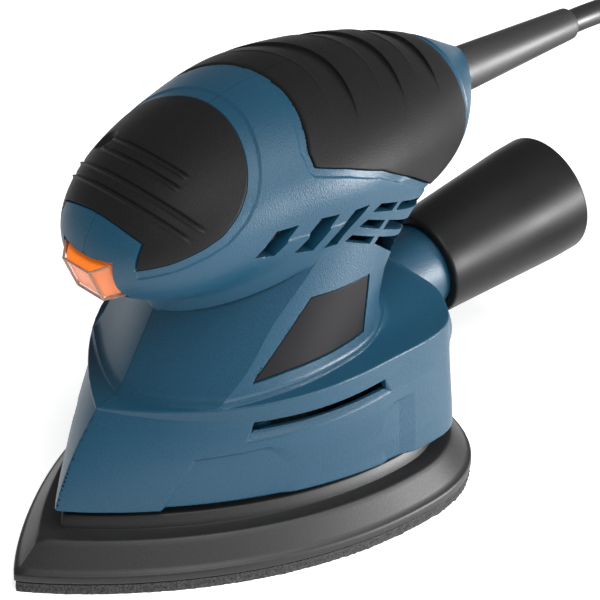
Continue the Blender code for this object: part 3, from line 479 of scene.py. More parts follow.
def along_tube(x, y, z):
    """Distance from the dust tube's axis."""
    rise = (z - TUBE_ANCHOR[1] - (y - TUBE_ANCHOR[0]) * math.tan(TUBE_TILT)) * math.cos(TUBE_TILT)
    return np.sqrt(x * x + rise * rise)


def outline(points, y, z):
    """Distance from a side outline of (y, z) points, negative inside it."""
    nearest = None
    inside = False
    for (ay, az), (by, bz) in zip(points, points[1:] + points[:1]):
        ey, ez = by - ay, bz - az
        t = np.clip(((y - ay) * ey + (z - az) * ez) / (ey * ey + ez * ez), 0.0, 1.0)
        away = (y - ay - t * ey) ** 2 + (z - az - t * ez) ** 2
        nearest = away if nearest is None else np.minimum(nearest, away)
        if ez != 0.0:
            crosses = ((az > z) != (bz > z)) & (y < ay + (z - az) * ey / ez)
            inside = inside ^ crosses
    return np.where(inside, -1.0, 1.0) * np.sqrt(nearest)


def rod(along, a, b, centre_a, centre_b, radius):
    """A cylinder along an axis, limited where the field along is negative."""
    return np.maximum(np.sqrt((a - centre_a) ** 2 + (b - centre_b) ** 2) - radius, along)


def switch_frame(x, y, z):
    """The switch's own directions: across, out of the nose and up the rocker."""
    lean, drop = math.cos(SWITCH_TILT), math.sin(SWITCH_TILT)
    dy, dz = y - SWITCH_Y, z - SWITCH_Z
    return -x, -lean * dy - drop * dz, -drop * dy + lean * dz


def outer_body(x, y, z):
    """The whole outer skin, before anything is cut out of it."""
    head = lower(egg(x, y, z), collar(x, y, z), 1.6)
    throat = neck(x, y, z)
    stem = np.maximum(throat, np.maximum(NECK_BOTTOM - z, z - NECK_TOP))
    foot = np.maximum(throat - FLANGE, np.maximum(above_roof(y, z) - 0.9, NECK_BOTTOM - z))
    rim = skirt_side(x, y, z) + 0.4 - 40.0 * ease(z, 52.0, 60.0)
    stem = np.maximum(lower(stem, foot, 1.4), rim)
    base = lower(skirt(x, y, z), np.maximum(hump(x, y, z), 40.0 - z), 5.0)
    tube = np.maximum(along_tube(x, y, z) - TUBE_RADIUS, np.maximum(y - TUBE_END, 110.0 - y))
    base = lower(base, tube, 1.5)
    body = lower(head, stem, 0.5 + 3.0 * ease(y, 74.0, 100.0))
    body = lower(body, base, 0.3 + 2.5 * ease(y, 98.0, 108.0))
    return upper(body, SKIRT_BOTTOM - z, 0.6)


def cavity(x, y, z, skin):
    """The room inside, less the stator plates, the bearing cup and the bosses."""
    stem = np.maximum(neck(x, y, z) + WALL, np.maximum(40.0 - z, z - 94.0))
    room = np.minimum(egg(x, y, z) + GRIP_DEPTH + GAP + 1.9, stem)
    room = np.minimum(room, np.minimum(skirt(x, y, z, WALL), hump(x, y, z, WALL)))
    for low in STATOR_PLATES:
        plate = np.maximum(np.abs(z - low - 1.0) - 1.0, np.abs(y - 79.5) - 33.5)
        room = without(room, plate)
    cup_bottom, cup_radius = BEARING_CUP
    room = without(room, rod(cup_bottom - z, x, y, 0.0, MOTOR_Y, cup_radius))
    for screw_y, screw_z, _ in SCREW_PLACES:
        room = without(room, np.sqrt((y - screw_y) ** 2 + (z - screw_z) ** 2) - SCREW_BOSS)
    for post_x, post_y in POST_PLACES:
        room = without(room, rod(POST_BOSS_TOP - z, np.abs(x), y, post_x, post_y, POST_BOSS))
    for middle, half_height, radius in MOTOR_ROOMS:
        room = np.minimum(room, rod(np.abs(z - middle) - half_height, x, y, 0.0, MOTOR_Y, radius))
    return np.maximum(room, skin + THINNEST_WALL)


def openings(x, y, z):
    """Everything that is cut through the skin: vents, slot, dust tube, cord hole and switch hole."""
    holes = np.maximum(along_tube(x, y, z) - TUBE_BORE, 118.0 - y)
    holes = np.minimum(holes, rod(136.0 - y, x, z, 0.0, GUARD_Z, GUARD_HOLE))
    slots = np.minimum.reduce([outline(points, y, z) for points in (*VENT_SLOTS, SKIRT_SLOT)])
    (start_y, start_z), (end_y, end_z), half_width = VENT_BAR
    run_y, run_z = end_y - start_y, end_z - start_z
    across_bar = ((y - start_y) * run_z - (z - start_z) * run_y) / math.hypot(run_y, run_z)
    bar = np.maximum(np.abs(across_bar) - half_width, 78.0 - z)
    holes = np.minimum(holes, np.maximum(without(slots, bar), 15.0 - np.abs(x)))
    across, out, up = switch_frame(x, y, z)
    for half_width, half_height, middle, half_depth in SWITCH_HOLES:
        well = np.maximum(np.abs(across) - half_width, np.abs(up) - half_height)
        holes = np.minimum(holes, np.maximum(well, np.abs(out - middle) - half_depth))
    return holes


def nose_piece(x, y, z):
    """The part of the nose that the front grip leaves free."""
    half_width, height, rise = NOSE_PIECE
    top = z - height - rise * (1.0 - (x / half_width) ** 2)
    return np.maximum(np.maximum(np.abs(x) - half_width, top), y - 45.0)


def front_outline(x, y, z):
    return np.maximum(outline(FRONT_GRIP, y, z), -nose_piece(x, y, z))


def rear_outline(x, y, z):
    return outline(REAR_GRIP, y, z)


def surface_relief(x, y, z, shell, body):
    """Sink the borders round the grips, the beds of the grips and the label, and the skirt panel."""
    front, rear = front_outline(x, y, z), rear_outline(x, y, z)
    border = np.maximum((1.0 - ease(front, 2.3, 2.9)) * (nose_piece(x, y, z) > 0),
                        1.0 - ease(rear, 1.8, 2.4))
    body = body + BORDER_DEPTH * border * (shell < 3.0)
    body = without(body, np.maximum(front - GAP, -(shell + GRIP_DEPTH + GAP)))
    body = without(body, np.maximum(rear - GAP, -(shell + GRIP_DEPTH + GAP)))
    low = neck(x, y, z)
    body = without(body, np.maximum(outline(LABEL, y, z) - GAP, -(low + LABEL_DEPTH + GAP)))
    wall = skirt(x, y, z)
    top_edge = 0.6 + 9.0 * ease(y, 58.0, 68.0) * (1.0 - ease(y, 92.0, 97.0))
    panel = 1.0 - ease(outline(SKIRT_PANEL, y, z), -top_edge, 0.6)
    start, end = PANEL_RUN_OUT
    panel = panel * (1.0 - np.clip((y - start) / (end - start), 0.0, 1.0))
    body = body + PANEL_DEPTH * panel * (wall < 3.0)
    return body + SILL_DEPTH * (1.0 - ease(outline(SLOT_SILL, y, z), -2.4, 0.1)) * (wall < 3.0)


def housing(x, y, z):
    skin = outer_body(x, y, z)
    body = surface_relief(x, y, z, egg(x, y, z), skin)
    body = without(body, cavity(x, y, z, skin))
    return without(body, openings(x, y, z))


def screw_wells(x, y, z):
    """The deep holes for the housing's screws, in the right shell only."""
    wells = None
    for screw_y, screw_z, head in SCREW_PLACES:
        away = np.sqrt((y - screw_y) ** 2 + (z - screw_z) ** 2)
        well = np.minimum(np.maximum(away - 2.9, x + head), away - 1.7)
        wells = well if wells is None else np.minimum(wells, well)
    return wells


def ribs(x, y, z):
    """Raised ribs across the front grip, each with a fine groove behind it, and an oval dimple."""
    dimple = sum(((at - middle) / size) ** 2 for at, (middle, size) in zip((x, y, z), DIMPLE))
    relief = -DIMPLE_DEPTH * (1.0 - ease(dimple, 0.45, 1.0))
    depth, reach, behind = RIB_GROOVE
    for level, half_width in RIB_PLANES:
        away = (y + RIB_SLOPE * z - level) / math.hypot(1.0, RIB_SLOPE)
        fade = 1.0 - ease(np.abs(x), half_width - 2.5, half_width)
        ridge = RIB_HEIGHT * np.exp(-(away / RIB_REACH) ** 2)
        groove = depth * np.exp(-((away - behind) / reach) ** 2)
        relief = relief + fade * (ridge - groove)
    return relief


def waves(x, y, z):
    """Shallow scallops across the rear grip: each deepens backwards and ends in a sharp step."""
    swept = y + WAVE_SWEEP * x * x
    relief = 0.0
    for front, rear, half_width in WAVES:
        run = (swept - front) / (rear - front)
        fade = 1.0 - ease(np.abs(x), half_width * 0.35, half_width)
        scoop = WAVE_DEPTH * np.clip(run, 0.0, 1.0) ** 1.5 * (1.0 - ease(swept, rear - 0.1, rear + 0.45))
        lip = WAVE_LIP * np.exp(-((swept - front) / 0.45) ** 2)
        relief = relief + fade * (lip - scoop)
    return relief


def grip(edge, relief):
    """A grip: the egg's skin inside an outline, with relief."""
    def field(x, y, z):
        shell = egg(x, y, z)
        outer = shell - relief(x, y, z)
        return upper(np.maximum(outer, -shell - GRIP_DEPTH), edge(x, y, z), 0.5)
    return field


def label(x, y, z):
    face = neck(x, y, z)
    return upper(np.maximum(face + 0.25, -face - LABEL_DEPTH), outline(LABEL, y, z), 0.3)


def half(field, side, gap):
    """One side of a field, from half the seam's gap outwards: 1 is the left side and -1 the right."""
    return lambda x, y, z: np.maximum(field(x, y, z), gap / 2 - side * x)


# ---- Meshes ----

REFINEMENTS = 2  # how often the crossing of an edge is guessed again before the last guess
FLAT_PULL = 0.05  # how strongly a vertex on a flat stretch is held at its cell's middle

def crossings(field, values, axis, low, step):
    """Find where the grid's edges along one axis cross a field's zero surface.

    Each row of the answer is an edge: its first corner's indices, whether the first corner is inside,
    the crossing point and the surface's normal there.
    """
    inside = values < 0
    at = np.argwhere(np.diff(inside, axis=axis))
    others = [k for k in range(3) if k != axis]
    ends = np.array(values.shape)[others] - 1
    at = at[(at[:, others] > 0).all(axis=1) & (at[:, others] < ends).all(axis=1)]
    ahead = np.eye(3, dtype=int)[axis]
    start = low + at * step
    a, b = np.zeros(len(at)), np.ones(len(at))
    value_a, value_b = values[tuple(at.T)], values[tuple((at + ahead).T)]
    first_inside = value_a < 0
    for _ in range(REFINEMENTS):
        t = (a * value_b - b * value_a) / (value_b - value_a)
        t = np.clip(t, a + 0.05 * (b - a), b - 0.05 * (b - a))
        points = start + t[:, None] * step * ahead
        value = field(*points.T)
        before = (value < 0) == first_inside
        a, value_a = np.where(before, t, a), np.where(before, value, value_a)
        b, value_b = np.where(before, b, t), np.where(before, value_b, value)
    t = (a * value_b - b * value_a) / (value_b - value_a)
    points = start + t[:, None] * step * ahead
    reach = 0.02
    value = field(*points.T)
    normals = np.stack([field(*(points + reach * way).T) - value for way in np.eye(3)], axis=1)
    normals /= np.maximum(np.linalg.norm(normals, axis=1), 1e-9)[:, None]
    return at, first_inside, points, normals


def net(name, low, high, step, field, keep=1.0):
    """Mesh a field's zero surface, with one vertex for each grid cell that the surface crosses.

    The vertex is put where the tangent planes at the cell's edges meet, so sharp edges stay sharp.
    Only a share of the faces is kept.
    """
    low, step = np.array(low), np.array(step) * np.ones(3)
    axes = [np.arange(start, end + size, size) for start, end, size in zip(low, high, step)]
    grid = np.meshgrid(*axes, indexing="ij", sparse=True)
    values = np.ascontiguousarray(np.broadcast_to(field(*grid), [len(axis) for axis in axes]))
    cells = np.array(values.shape) - 1
    rings, flips, planes = [], [], []
    for axis in range(3):
        at, first_inside, points, normals = crossings(field, values, axis, low, step)
        side, other = np.eye(3, dtype=int)[[(axis + 1) % 3, (axis + 2) % 3]]
        corners = np.stack([at - side - other, at - other, at, at - side], axis=1)
        rings.append(np.ravel_multi_index(tuple(np.moveaxis(corners, 2, 0)), cells))
        flips.append(~first_inside)
        planes.append(np.hstack([points, normals]))
    rings, flips, planes = np.concatenate(rings), np.concatenate(flips), np.concatenate(planes)
    used, index = np.unique(rings, return_inverse=True)
    index = index.reshape(rings.shape)
    points, normals = np.repeat(planes, 4, axis=0).reshape(-1, 2, 3).transpose(1, 0, 2)

    def gather(amounts):
        flat = amounts.reshape(len(amounts), -1)
        columns = [np.bincount(index.ravel(), column, len(used)) for column in flat.T]
        return np.stack(columns, axis=1).reshape(len(used), *amounts.shape[1:])

    count = np.bincount(index.ravel(), minlength=len(used))[:, None]
    middle = gather(points) / count
    away = np.einsum("ij,ij->i", normals, points - middle[index.ravel()])
    matrix = gather(normals[:, :, None] * normals[:, None, :]) + FLAT_PULL * np.eye(3)
    offset = np.linalg.solve(matrix, gather(normals * away[:, None])[:, :, None])[:, :, 0]
    corner = low + np.stack(np.unravel_index(used, cells), axis=1) * step
    vertices = np.clip(middle + offset, corner, corner + step)

    faces = np.where(flips[:, None], index[:, ::-1], index)
    vertices[:, 1] -= CENTRE_Y
    mesh = bpy.data.meshes.new(name)
    mesh.from_pydata((vertices * MM).tolist(), [], faces.tolist())
    mesh.validate()
    made = add(name, mesh)
    if keep < 1.0:
        thin_out(made, keep)
    shade_by_field(made.data, field)
    return made


def thin_out(item, keep):
    """Merge faces where the surface is flat, down to a share of them."""
    thinning = item.modifiers.new("thinning", "DECIMATE")
    thinning.ratio = keep
    graph = bpy.context.evaluated_depsgraph_get()
    full = item.data
    item.data = bpy.data.meshes.new_from_object(item.evaluated_get(graph))
    item.modifiers.clear()
    bpy.data.meshes.remove(full)


def shade_by_field(mesh, field):
    """Take the shading normals from the field itself, a little inside each face's corners."""
    points = np.empty(len(mesh.vertices) * 3)
    mesh.vertices.foreach_get("co", points)
    points = points.reshape(-1, 3) / MM
    points[:, 1] += CENTRE_Y
    corner = np.empty(len(mesh.loops), dtype=np.int32)
    mesh.loops.foreach_get("vertex_index", corner)
    sizes = np.empty(len(mesh.polygons), dtype=np.int32)
    mesh.polygons.foreach_get("loop_total", sizes)
    face = np.repeat(np.arange(len(sizes)), sizes)
    middles = np.stack([np.bincount(face, points[corner, k]) for k in range(3)], axis=1) / sizes[:, None]
    near = points[corner] * 0.65 + middles[face] * 0.35
    reach = 0.05
    slopes = [field(*(near + reach * way).T) - field(*(near - reach * way).T) for way in np.eye(3)]
    normals = np.stack(slopes, axis=1)
    normals /= np.maximum(np.linalg.norm(normals, axis=1), 1e-9)[:, None]
    mesh.shade_smooth()
    mesh.normals_split_custom_set(normals.tolist())


def add(name, mesh):
    made = bpy.data.objects.new(name, mesh)
    bpy.context.scene.collection.objects.link(made)
    return made


def dress(item, material, body, replaced, sharp=None):
    """Give a finished piece its material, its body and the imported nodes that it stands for."""
    item.data.materials.clear()
    item.data.materials.append(material)
    if sharp is not None:
        item.data.shade_smooth()
        item.data.set_sharp_from_angle(angle=math.radians(sharp))
    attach(item, body)
    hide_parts(*replaced)
    return item


def mirrored(item, name):
    """The other side's copy of a piece."""
    mesh = item.data.copy()
    mesh.transform(Matrix.Diagonal((-1.0, 1.0, 1.0, 1.0)))
    mesh.flip_normals()
    return add(name, mesh)


def from_bmesh(name, bm):
    bmesh.ops.remove_doubles(bm, verts=bm.verts, dist=0.000002)
    bmesh.ops.recalc_face_normals(bm, faces=bm.faces)
    mesh = bpy.data.meshes.new(name)
    bm.to_mesh(mesh)
    bm.free()
    return add(name, mesh)


def loft(name, rings):
    """Skin equal rings of design points, with flat ends."""
    bm = bmesh.new()
    rows = [[bm.verts.new(place(*point)) for point in ring] for ring in rings]
    count = len(rows[0])
    for row, following in zip(rows, rows[1:]):
        for k in range(count):
            after = (k + 1) % count
            bm.faces.new((row[k], row[after], following[after], following[k]))
    bm.faces.new(rows[0])
    bm.faces.new(rows[-1])
    return from_bmesh(name, bm)


def turned(name, profile, origin, direction, sides=96):
    """Turn a closed profile of (radius, height) points about an axis through a design point."""
    bm = bmesh.new()
    count = len(profile)
    rows = []
    for k in range(sides):
        angle = 2 * math.pi * k / sides
        rows.append([bm.verts.new((radius * MM * math.cos(angle), radius * MM * math.sin(angle),
                                   height * MM)) for radius, height in profile])
    for k, row in enumerate(rows):
        following = rows[(k + 1) % sides]
        for n in range(count):
            after = (n + 1) % count
            if profile[n][0] == 0 and profile[after][0] == 0:
                continue
            bm.faces.new((row[n], following[n], following[after], row[after]))
    turn = Vector((0, 0, 1)).rotation_difference(Vector(direction)).to_matrix().to_4x4()
    bmesh.ops.transform(bm, matrix=Matrix.Translation(place(*origin)) @ turn, verts=bm.verts)
    return from_bmesh(name, bm)


def rounded(profile, radius, steps=3):
    """Round a closed profile's corners; a radius is one number or one for each corner."""
    points = []
    for k, corner in enumerate(profile):
        size = radius[k] if isinstance(radius, (list, tuple)) else radius
        here = Vector(corner)
        before = Vector(profile[k - 1]) - here
        after = Vector(profile[(k + 1) % len(profile)]) - here
        if size == 0 or corner[0] == 0:
            points.append(corner)
            continue
        cut = min(size, before.length * 0.45, after.length * 0.45)
        start, end = here + before.normalized() * cut, here + after.normalized() * cut
        for n in range(steps + 1):
            t = n / steps
            point = start * (1 - t) ** 2 + here * 2 * t * (1 - t) + end * t ** 2
            points.append((point.x, point.y))
    return points


def iron_ring(front, rear, half_width, z, steps=60):
    """The pad's outline at a height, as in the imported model, with more points."""
    side = []
    for k in range(1, steps):
        u = 1 - k / steps
        side.append((half_width * (1 - u ** 2.0) ** (1 / 1.1), PAD_WIDEST - u * (PAD_WIDEST - front)))
    heel_steps = steps * 2 // 3
    for k in range(heel_steps):
        angle = math.pi / 2 * k / heel_steps
        side.append((half_width * math.cos(angle) ** (2 / PAD_HEEL),
                     PAD_WIDEST + (rear - PAD_WIDEST) * math.sin(angle) ** (2 / PAD_HEEL)))
    ring = [(0.0, front), *side, (0.0, rear), *((-x, y) for x, y in reversed(side))]
    return [(x, y, z) for x, y in ring]


# ---- Pieces ----

COARSE = 1.0  # a factor on every grid step: a value above 1 makes a coarser grid
HOUSING_KEEP = 0.37  # the share of the shells' faces that is kept


def make_housing():
    step = 0.52 * COARSE
    left = net("shell_left", (-1.0, 10.0, 17.0), (45.0, 163.0, 126.0), step, half(housing, 1, SEAM),
               HOUSING_KEEP)
    dress(left, BLUE, "housing", ["housing_left"])

    def drilled(x, y, z):
        return without(housing(x, y, z), screw_wells(x, y, z))

    right = net("shell_right", (-45.0, 10.0, 17.0), (1.0, 163.0, 126.0), step, half(drilled, -1, SEAM),
                HOUSING_KEEP)
    dress(right, BLUE, "housing", ["housing_right"])


def make_grips():
    step = 0.32 * COARSE
    for name, edge, relief, gap, low, high in (
            ("front_grip", front_outline, ribs, SEAM / 3, (26.0, 88.0), (74.0, 124.5)),
            ("rear_grip", rear_outline, waves, SEAM, (76.0, 77.0), (146.0, 125.5))):
        field = grip(edge, relief)
        left = net(f"{name}_cover_left", (-0.5, *low), (37.0, *high), step, half(field, 1, gap))
        right = net(f"{name}_cover_right", (-37.0, *low), (0.5, *high), step, half(field, -1, gap))
        dress(left, GRIP, "housing", [f"{name}_left"])
        dress(right, GRIP, "housing", [f"{name}_right"])


def make_labels():
    step = np.array((0.16, 0.4, 0.4)) * COARSE
    left = net("side_label_left", (24.0, 56.0, 51.0), (37.0, 98.0, 76.0), step, label)
    dress(left, LABEL_GREY, "housing", ["label_left"])
    dress(mirrored(left, "side_label_right"), LABEL_GREY, "housing", ["label_right"])


def make_screw_heads():
    """Housing screws with a six-lobed recess."""
    for number, (y, z, head) in enumerate(SCREW_PLACES, start=1):
        bm = bmesh.new()
        sides = 48
        rings = []
        for radius, depth, lobes in ((2.35, 1.9, 0), (2.4, 0.35, 0), (2.05, 0.0, 0), (1.35, 0.0, 1),
                                     (1.35, 1.3, 1)):
            ring = []
            for k in range(sides):
                angle = 2 * math.pi * k / sides
                reach = radius - (0.22 * (1 - math.cos(6 * angle)) if lobes else 0.0)
                ring.append(bm.verts.new(place(-head - 2.6 + depth, y + reach * math.cos(angle),
                                               z + reach * math.sin(angle))))
            rings.append(ring)
        for ring, following in zip(rings, rings[1:]):
            for k in range(sides):
                after = (k + 1) % sides
                bm.faces.new((ring[k], ring[after], following[after], following[k]))
        bm.faces.new(rings[0])
        bm.faces.new(rings[-1])
        item = from_bmesh(f"screw_head_{number}", bm)
        dress(item, STEEL, "housing", [f"housing_screw_{number}"], sharp=40)


def frustum(x, y, z, sections):
    """A block in the switch's frame with straight sides, from its rear and front sections.

    Each section is its reach out of the nose, its half width, and its low and high edges.
    """
    across, out, up = switch_frame(x, y, z)
    (rear, *start), (front, *end) = sections
    t = (out - rear) / (front - rear)
    half_width, low, high = (a + (b - a) * t for a, b in zip(start, end))
    sides = upper(np.maximum(low - up, up - high), np.abs(across) - half_width, 0.8)
    return upper(sides * 0.8, np.maximum(out - front, rear - out), 0.8)


def rocker(x, y, z):
    block = frustum(x, y, z, ((-0.5, 8.4, -5.1, 5.5), (3.75, 5.0, -4.75, 5.1)))
    root = frustum(x, y, z, ((-5.0, 8.4, -5.0, 5.5), (0.0, 8.2, -5.0, 5.5)))
    return np.minimum(block, root)


def boot(x, y, z):
    """The clear boot: thin walls round the rocker, open above it."""
    across, out, up = switch_frame(x, y, z)
    outer = np.minimum(frustum(x, y, z, ((-0.3, 9.0, -5.7, 6.1), (4.5, 5.5, -5.2, 5.8))),
                       frustum(x, y, z, ((-4.6, 9.0, -5.7, 6.1), (0.0, 8.8, -5.7, 6.1))))
    room = frustum(x, y, z, ((-0.7, 8.75, -5.4, 9.0), (4.0, 5.25, -4.95, 9.0)))
    room = np.minimum(room, frustum(x, y, z, ((-6.0, 8.6, -5.3, 9.0), (0.0, 8.6, -5.3, 9.0))))
    return np.maximum(outer, -room)


def bar(here, start, end, radius):
    """A round bar between two points."""
    run = np.subtract(end, start)
    away = [now - first for now, first in zip(here, start)]
    along = sum(part * reach for part, reach in zip(away, run)) / (run @ run)
    along = np.clip(along, 0.0, 1.0)
    return np.sqrt(sum((part - along * reach) ** 2 for part, reach in zip(away, run))) - radius


def boot_edges(x, y, z):
    """The boot's thick moulded edges: round its front, and back along its sides."""
    here = switch_frame(x, y, z)
    front = [(-5.1, 4.2, -4.9), (5.1, 4.2, -4.9), (5.1, 4.2, 5.5), (-5.1, 4.2, 5.5)]
    rear = [(-8.8, -0.2, -5.4), (8.8, -0.2, -5.4), (8.8, -0.2, 5.8), (-8.8, -0.2, 5.8)]
    bars = [bar(here, a, b, 0.34) for a, b in zip(front, front[1:] + front[:1])]
    bars += [bar(here, a, b, 0.32) for a, b in zip(front, rear)]
    return np.minimum.reduce(bars)


def make_switch():
    step = 0.24 * COARSE
    low, high = (-10.5, 20.0, 77.0), (10.5, 40.0, 96.0)
    dress(net("rocker", low, high, step, rocker), ORANGE, "switch", ["switch_rocker"])
    for name, field, material in (("boot", boot, BOOT), ("boot_edges", boot_edges, BOOT_EDGE)):
        dress(net(name, low, high, step, field), material, "switch", ["switch_boot"])


def make_pad():
    """The moulded pad: a thin rim, a rounded bead, a broad chamfer and a dark flat top."""
    rows = [(3.3, 0.5), (3.6, 0.1), (4.0, 0.0), (5.4, 0.0), (5.8, 0.15), (6.1, 0.5), (6.2, 0.8)]
    rows += [(6.2 + 6.5 * k / 6, 0.8 + 4.5 * k / 6) for k in range(1, 7)]
    rows += [(12.95, 5.6), (13.0, 6.0), (13.0, 9.6), (13.2, 10.0), (16.6, 10.5), (16.9, 10.8),
             (17.0, 11.3)]
    rings = [iron_ring(1.6 * inset, PAD_LENGTH - inset, PAD_HALF_WIDTH - inset, z) for z, inset in rows]
    pad = loft("pad", rings)
    dress(pad, PAD_BLACK, "pad", ["pad_plate"], sharp=50)


def make_hook_layer():
    """The hook layer: its cut edge is ragged, with a foam line above the pile."""
    rng = np.random.default_rng(7)
    rings = []
    for z, inset, rough in ((0.0, 0.5, 0.0), (0.1, 0.25, 0.12), (0.7, 0.15, 0.16), (1.3, 0.10, 0.16),
                            (1.7, 0.35, 0.12), (2.0, 0.45, 0.05), (2.4, 0.3, 0.05), (3.0, 0.3, 0.0)):
        ring = iron_ring(0.3 + inset, PAD_LENGTH - 0.3 - inset, PAD_HALF_WIDTH - 0.3 - inset, z, 170)
        wander = rng.normal(0.0, 1.0, len(ring)) * rough
        rings.append([(x * (1 + w / 50), y + 0.6 * w * (1 if y > 70 else -1) * abs(y - 70) / 70, height)
                      for (x, y, height), w in zip(ring, wander)])
    layer = loft("hook_pile", rings)
    dress(layer, HOOK, "pad", ["hook_layer"], sharp=60)


def make_adapter():
    """The hose adapter: a tapered cup with a rounded lip, pushed over the dust tube."""
    length = (ADAPTER_END - ADAPTER_START) / math.cos(TUBE_TILT)
    profile = ((17.7, length), (17.65, length - 8.0), (15.3, 5.0), (15.1, 0.0),
               (TUBE_RADIUS + GAP, 0.0), (TUBE_RADIUS + GAP, 14.4), (13.6, 15.0), (16.0, length))
    profile = rounded(profile, (0.7, 3.0, 1.5, 1.6, 0.3, 0.2, 0.5, 0.7), 6)
    start_z = TUBE_ANCHOR[1] + (ADAPTER_START - TUBE_ANCHOR[0]) * math.tan(TUBE_TILT)
    adapter = turned("hose_adapter", profile, (0.0, ADAPTER_START, start_z),
                     (0.0, math.cos(TUBE_TILT), math.sin(TUBE_TILT)), 128)
    dress(adapter, ADAPTER_BLACK, "adapter", ["dust_adapter"], sharp=50)


def make_guard():
    """The tapered cord guard, with a collar where it leaves the housing."""
    length = GUARD_END - GUARD_START
    profile = ((0.0, length), (4.6, length), (6.4, 29.0), (6.4, 26.0), (6.2, 21.5), (4.6, 21.5),
               (4.6, 0.0), (0.0, 0.0))
    guard = turned("cord_sleeve", rounded(profile, (0, 0.8, 2.0, 0.6, 0.5, 0.2, 0.4, 0), 4),
                   (0.0, GUARD_START, GUARD_Z), (0, 1, 0), 64)
    dress(guard, RUBBER, "housing", ["cord_guard"], sharp=50)


def smooth_route(points, step):
    """Points every few millimetres along a smooth curve through a route's own points."""
    route = []
    for k in range(len(points) - 1):
        count = max(1, round(math.dist(points[k], points[k + 1]) / step))
        route += [between(points, (k + n / count) / (len(points) - 1)) for n in range(count)]
    route.append(list(points[-1]))
    return route


def coil_route():
    """Three turns winding in on top, a step down inside, and the turns winding out underneath."""
    radius = CORD_DIAMETER / 2
    points = []
    steps = 36
    for k in range(round(6.5 * steps) + 1):
        turn = k / steps
        angle = math.pi - 2 * math.pi * turn
        if turn <= 2:
            reach, height = 45.5 - CORD_DIAMETER * turn, 3 * radius
        elif turn <= 3:
            t = turn - 2
            reach = 31.5 - 3.5 * t - 1.2 * math.sin(math.pi * min(max(t - 0.5, 0.0) * 2, 1.0))
            drop = min(max((t - 0.5) * 2, 0.0), 1.0)
            height = radius * (3 - 2 * drop * drop * (3 - 2 * drop))
        else:
            reach, height = min(28.0 + CORD_DIAMETER * (turn - 3), 49.0), radius
        points.append((COIL_CENTRE[0] + reach * math.cos(angle),
                       COIL_CENTRE[1] + reach * math.sin(angle), height))
    return points


def make_cord():
    bridge = ((-26.3, 285.0, 11.4),)
    tail = ((PLUG_X, 288.0, 4.6), (PLUG_X, 276.0, 6.9), (PLUG_X, PLUG_REAR - 1.0, PLUG_Z))
    points = smooth_route(CORD_ROUTE + bridge + tuple(coil_route()) + tail, 3.0)
    places = [place(*point) for point in points]
    curve = bpy.data.curves.new("mains_cord", "CURVE")
    curve.dimensions = "3D"
    curve.bevel_depth = CORD_DIAMETER / 2 * MM
    curve.bevel_resolution = 6
    curve.use_fill_caps = True
    spline = curve.splines.new("POLY")
    spline.points.add(len(places) - 1)
    for target, point in zip(spline.points, places):
        target.co = (*point, 1.0)
    cord = bpy.data.objects.new("mains_cord", curve)
    bpy.context.scene.collection.objects.link(cord)
    dress(cord, CORD_BLACK, "housing", ["cord", "cord_coil"])
    plug = make_plug()


def make_plug():
    """The moulded plug, with a ribbed strain relief."""
    rows = [(0.0, 4.4, 4.4), (0.6, 5.0, 5.0)]
    for k in range(5):
        start = 2.0 + 3.0 * k
        rows += [(start, 5.1 + 0.1 * k, 5.1 + 0.1 * k), (start + 0.3, 4.4 + 0.1 * k, 4.4 + 0.1 * k),
                 (start + 1.2, 4.4 + 0.1 * k, 4.4 + 0.1 * k), (start + 1.5, 5.2 + 0.1 * k, 5.2 + 0.1 * k)]
    rows += [(18.0, 6.0, 5.6), (22.0, 8.6, 6.3), (26.0, 12.0, 7.2), (29.0, 14.6, 7.6), (32.0, 16.5, 7.8),
             (39.0, 17.2, 7.95), (46.0, 17.5, 8.0), (49.2, 17.2, 7.9), (50.0, 16.4, 7.2)]
    rings = []
    for back, half_width, half_height in rows:
        rings.append([(PLUG_X + half_width * math.cos(2 * math.pi * k / 64), PLUG_REAR - back,
                       PLUG_Z + half_height * math.sin(2 * math.pi * k / 64)) for k in range(64)])
    return dress(loft("plug_moulding", rings), PAD_BLACK, "housing", ["plug_body"], 50)


def finish_inner_parts():
    """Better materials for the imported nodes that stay."""
    finishes = {
        STEEL: ("clamp_screw_left", "clamp_screw_right", "motor_shaft", "eccentric_weight", "pad_bearing",
                "lower_bearing", "upper_bearing"),
        PAD_BLACK: ("switch_body", "cord_clamp"),
        RUBBER: [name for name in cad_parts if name.startswith("rubber_post_")],
        LAMINATION: ("armature_core", "field_core"),
        COPPER: ("armature_winding_lower", "armature_winding_upper", "commutator", "field_coil_left",
                 "field_coil_right"),
        GREY: ("fan", "bearing_plate", "fan_shroud"),
        BRASS: ("brush_holder_front", "brush_holder_rear", "plug_pin_left", "plug_pin_right"),
        CARBON: ("carbon_brush_front", "carbon_brush_rear"),
        BROWN: ("lead_live",),
        LEAD_BLUE: ("lead_neutral",),
        YELLOW: ("capacitor",),
    }
    for material, names in finishes.items():
        for name in names:
            for place_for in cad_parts[name].material_slots:
                place_for.material = material


# ---- Floor, light and camera ----

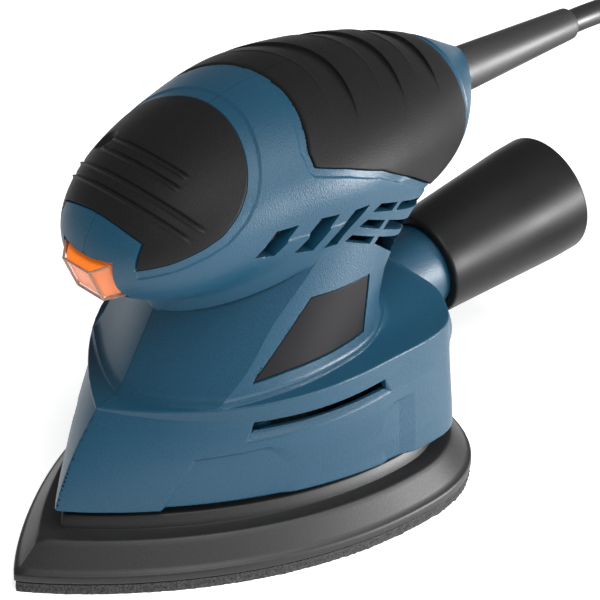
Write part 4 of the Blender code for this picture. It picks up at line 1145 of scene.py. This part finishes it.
def make_floor():
    """A pale floor, lit from below like a light table."""
    made, tree, shader = new_material("studio_floor", 0.75)
    colours(tree, noise(tree, 6.0), (0.86, 0.86, 0.865), (0.90, 0.90, 0.905), shader)
    shader.inputs["Emission Color"].default_value = (1.0, 1.0, 1.0, 1.0)
    shader.inputs["Emission Strength"].default_value = 0.66
    bpy.ops.mesh.primitive_plane_add(size=12.0, location=(0, 0, 0))
    floor = bpy.context.active_object
    floor.name = "studio_floor"
    floor.data.materials.append(made)


def add_light(name, where, target, size, power, only_gloss=False):
    data = bpy.data.lights.new(name, "AREA")
    data.shape = "RECTANGLE"
    data.size, data.size_y = size
    data.energy = power
    lamp = bpy.data.objects.new(name, data)
    bpy.context.scene.collection.objects.link(lamp)
    lamp.location = where
    lamp.visible_diffuse = not only_gloss  # a gloss light makes highlights only
    lamp.rotation_euler = (Vector(target) - Vector(where)).to_track_quat("-Z", "Y").to_euler()


def make_light():
    """A weak white sky, a low key light with its sheen from the right rear, and a light from above."""
    world = bpy.data.worlds.new("studio")
    bpy.context.scene.world = world
    world.use_nodes = True
    background = world.node_tree.nodes["Background"]
    background.inputs["Color"].default_value = (1.0, 1.0, 1.0, 1.0)
    background.inputs["Strength"].default_value = 0.21
    middle = (0.0, 0.0, 0.06)
    add_light("key", (1.0, 0.75, 0.26), middle, (0.6, 0.4), 13.0)
    add_light("sheen", (1.0, 0.75, 0.10), (0.0, 0.0, 0.10), (0.6, 0.2), 28.0, only_gloss=True)
    add_light("top", (0.6, -0.1, 1.2), middle, (0.9, 0.9), 16.0)


def make_camera():
    data = bpy.data.cameras.new("camera")
    camera = bpy.data.objects.new("camera", data)
    bpy.context.scene.collection.objects.link(camera)
    camera.location = CAMERA_PLACE
    camera.rotation_euler = [math.radians(angle) for angle in CAMERA_ANGLES]
    data.lens = CAMERA_LENS
    data.sensor_width = 36.0
    data.clip_start = 0.02
    bpy.context.scene.camera = camera


make_camera()
make_cord()
make_housing()
make_grips()
make_labels()
make_screw_heads()
make_switch()
make_pad()
make_hook_layer()
make_adapter()
make_guard()
finish_inner_parts()
make_floor()
make_light()
bpy.context.scene.view_settings.view_transform = "Standard"
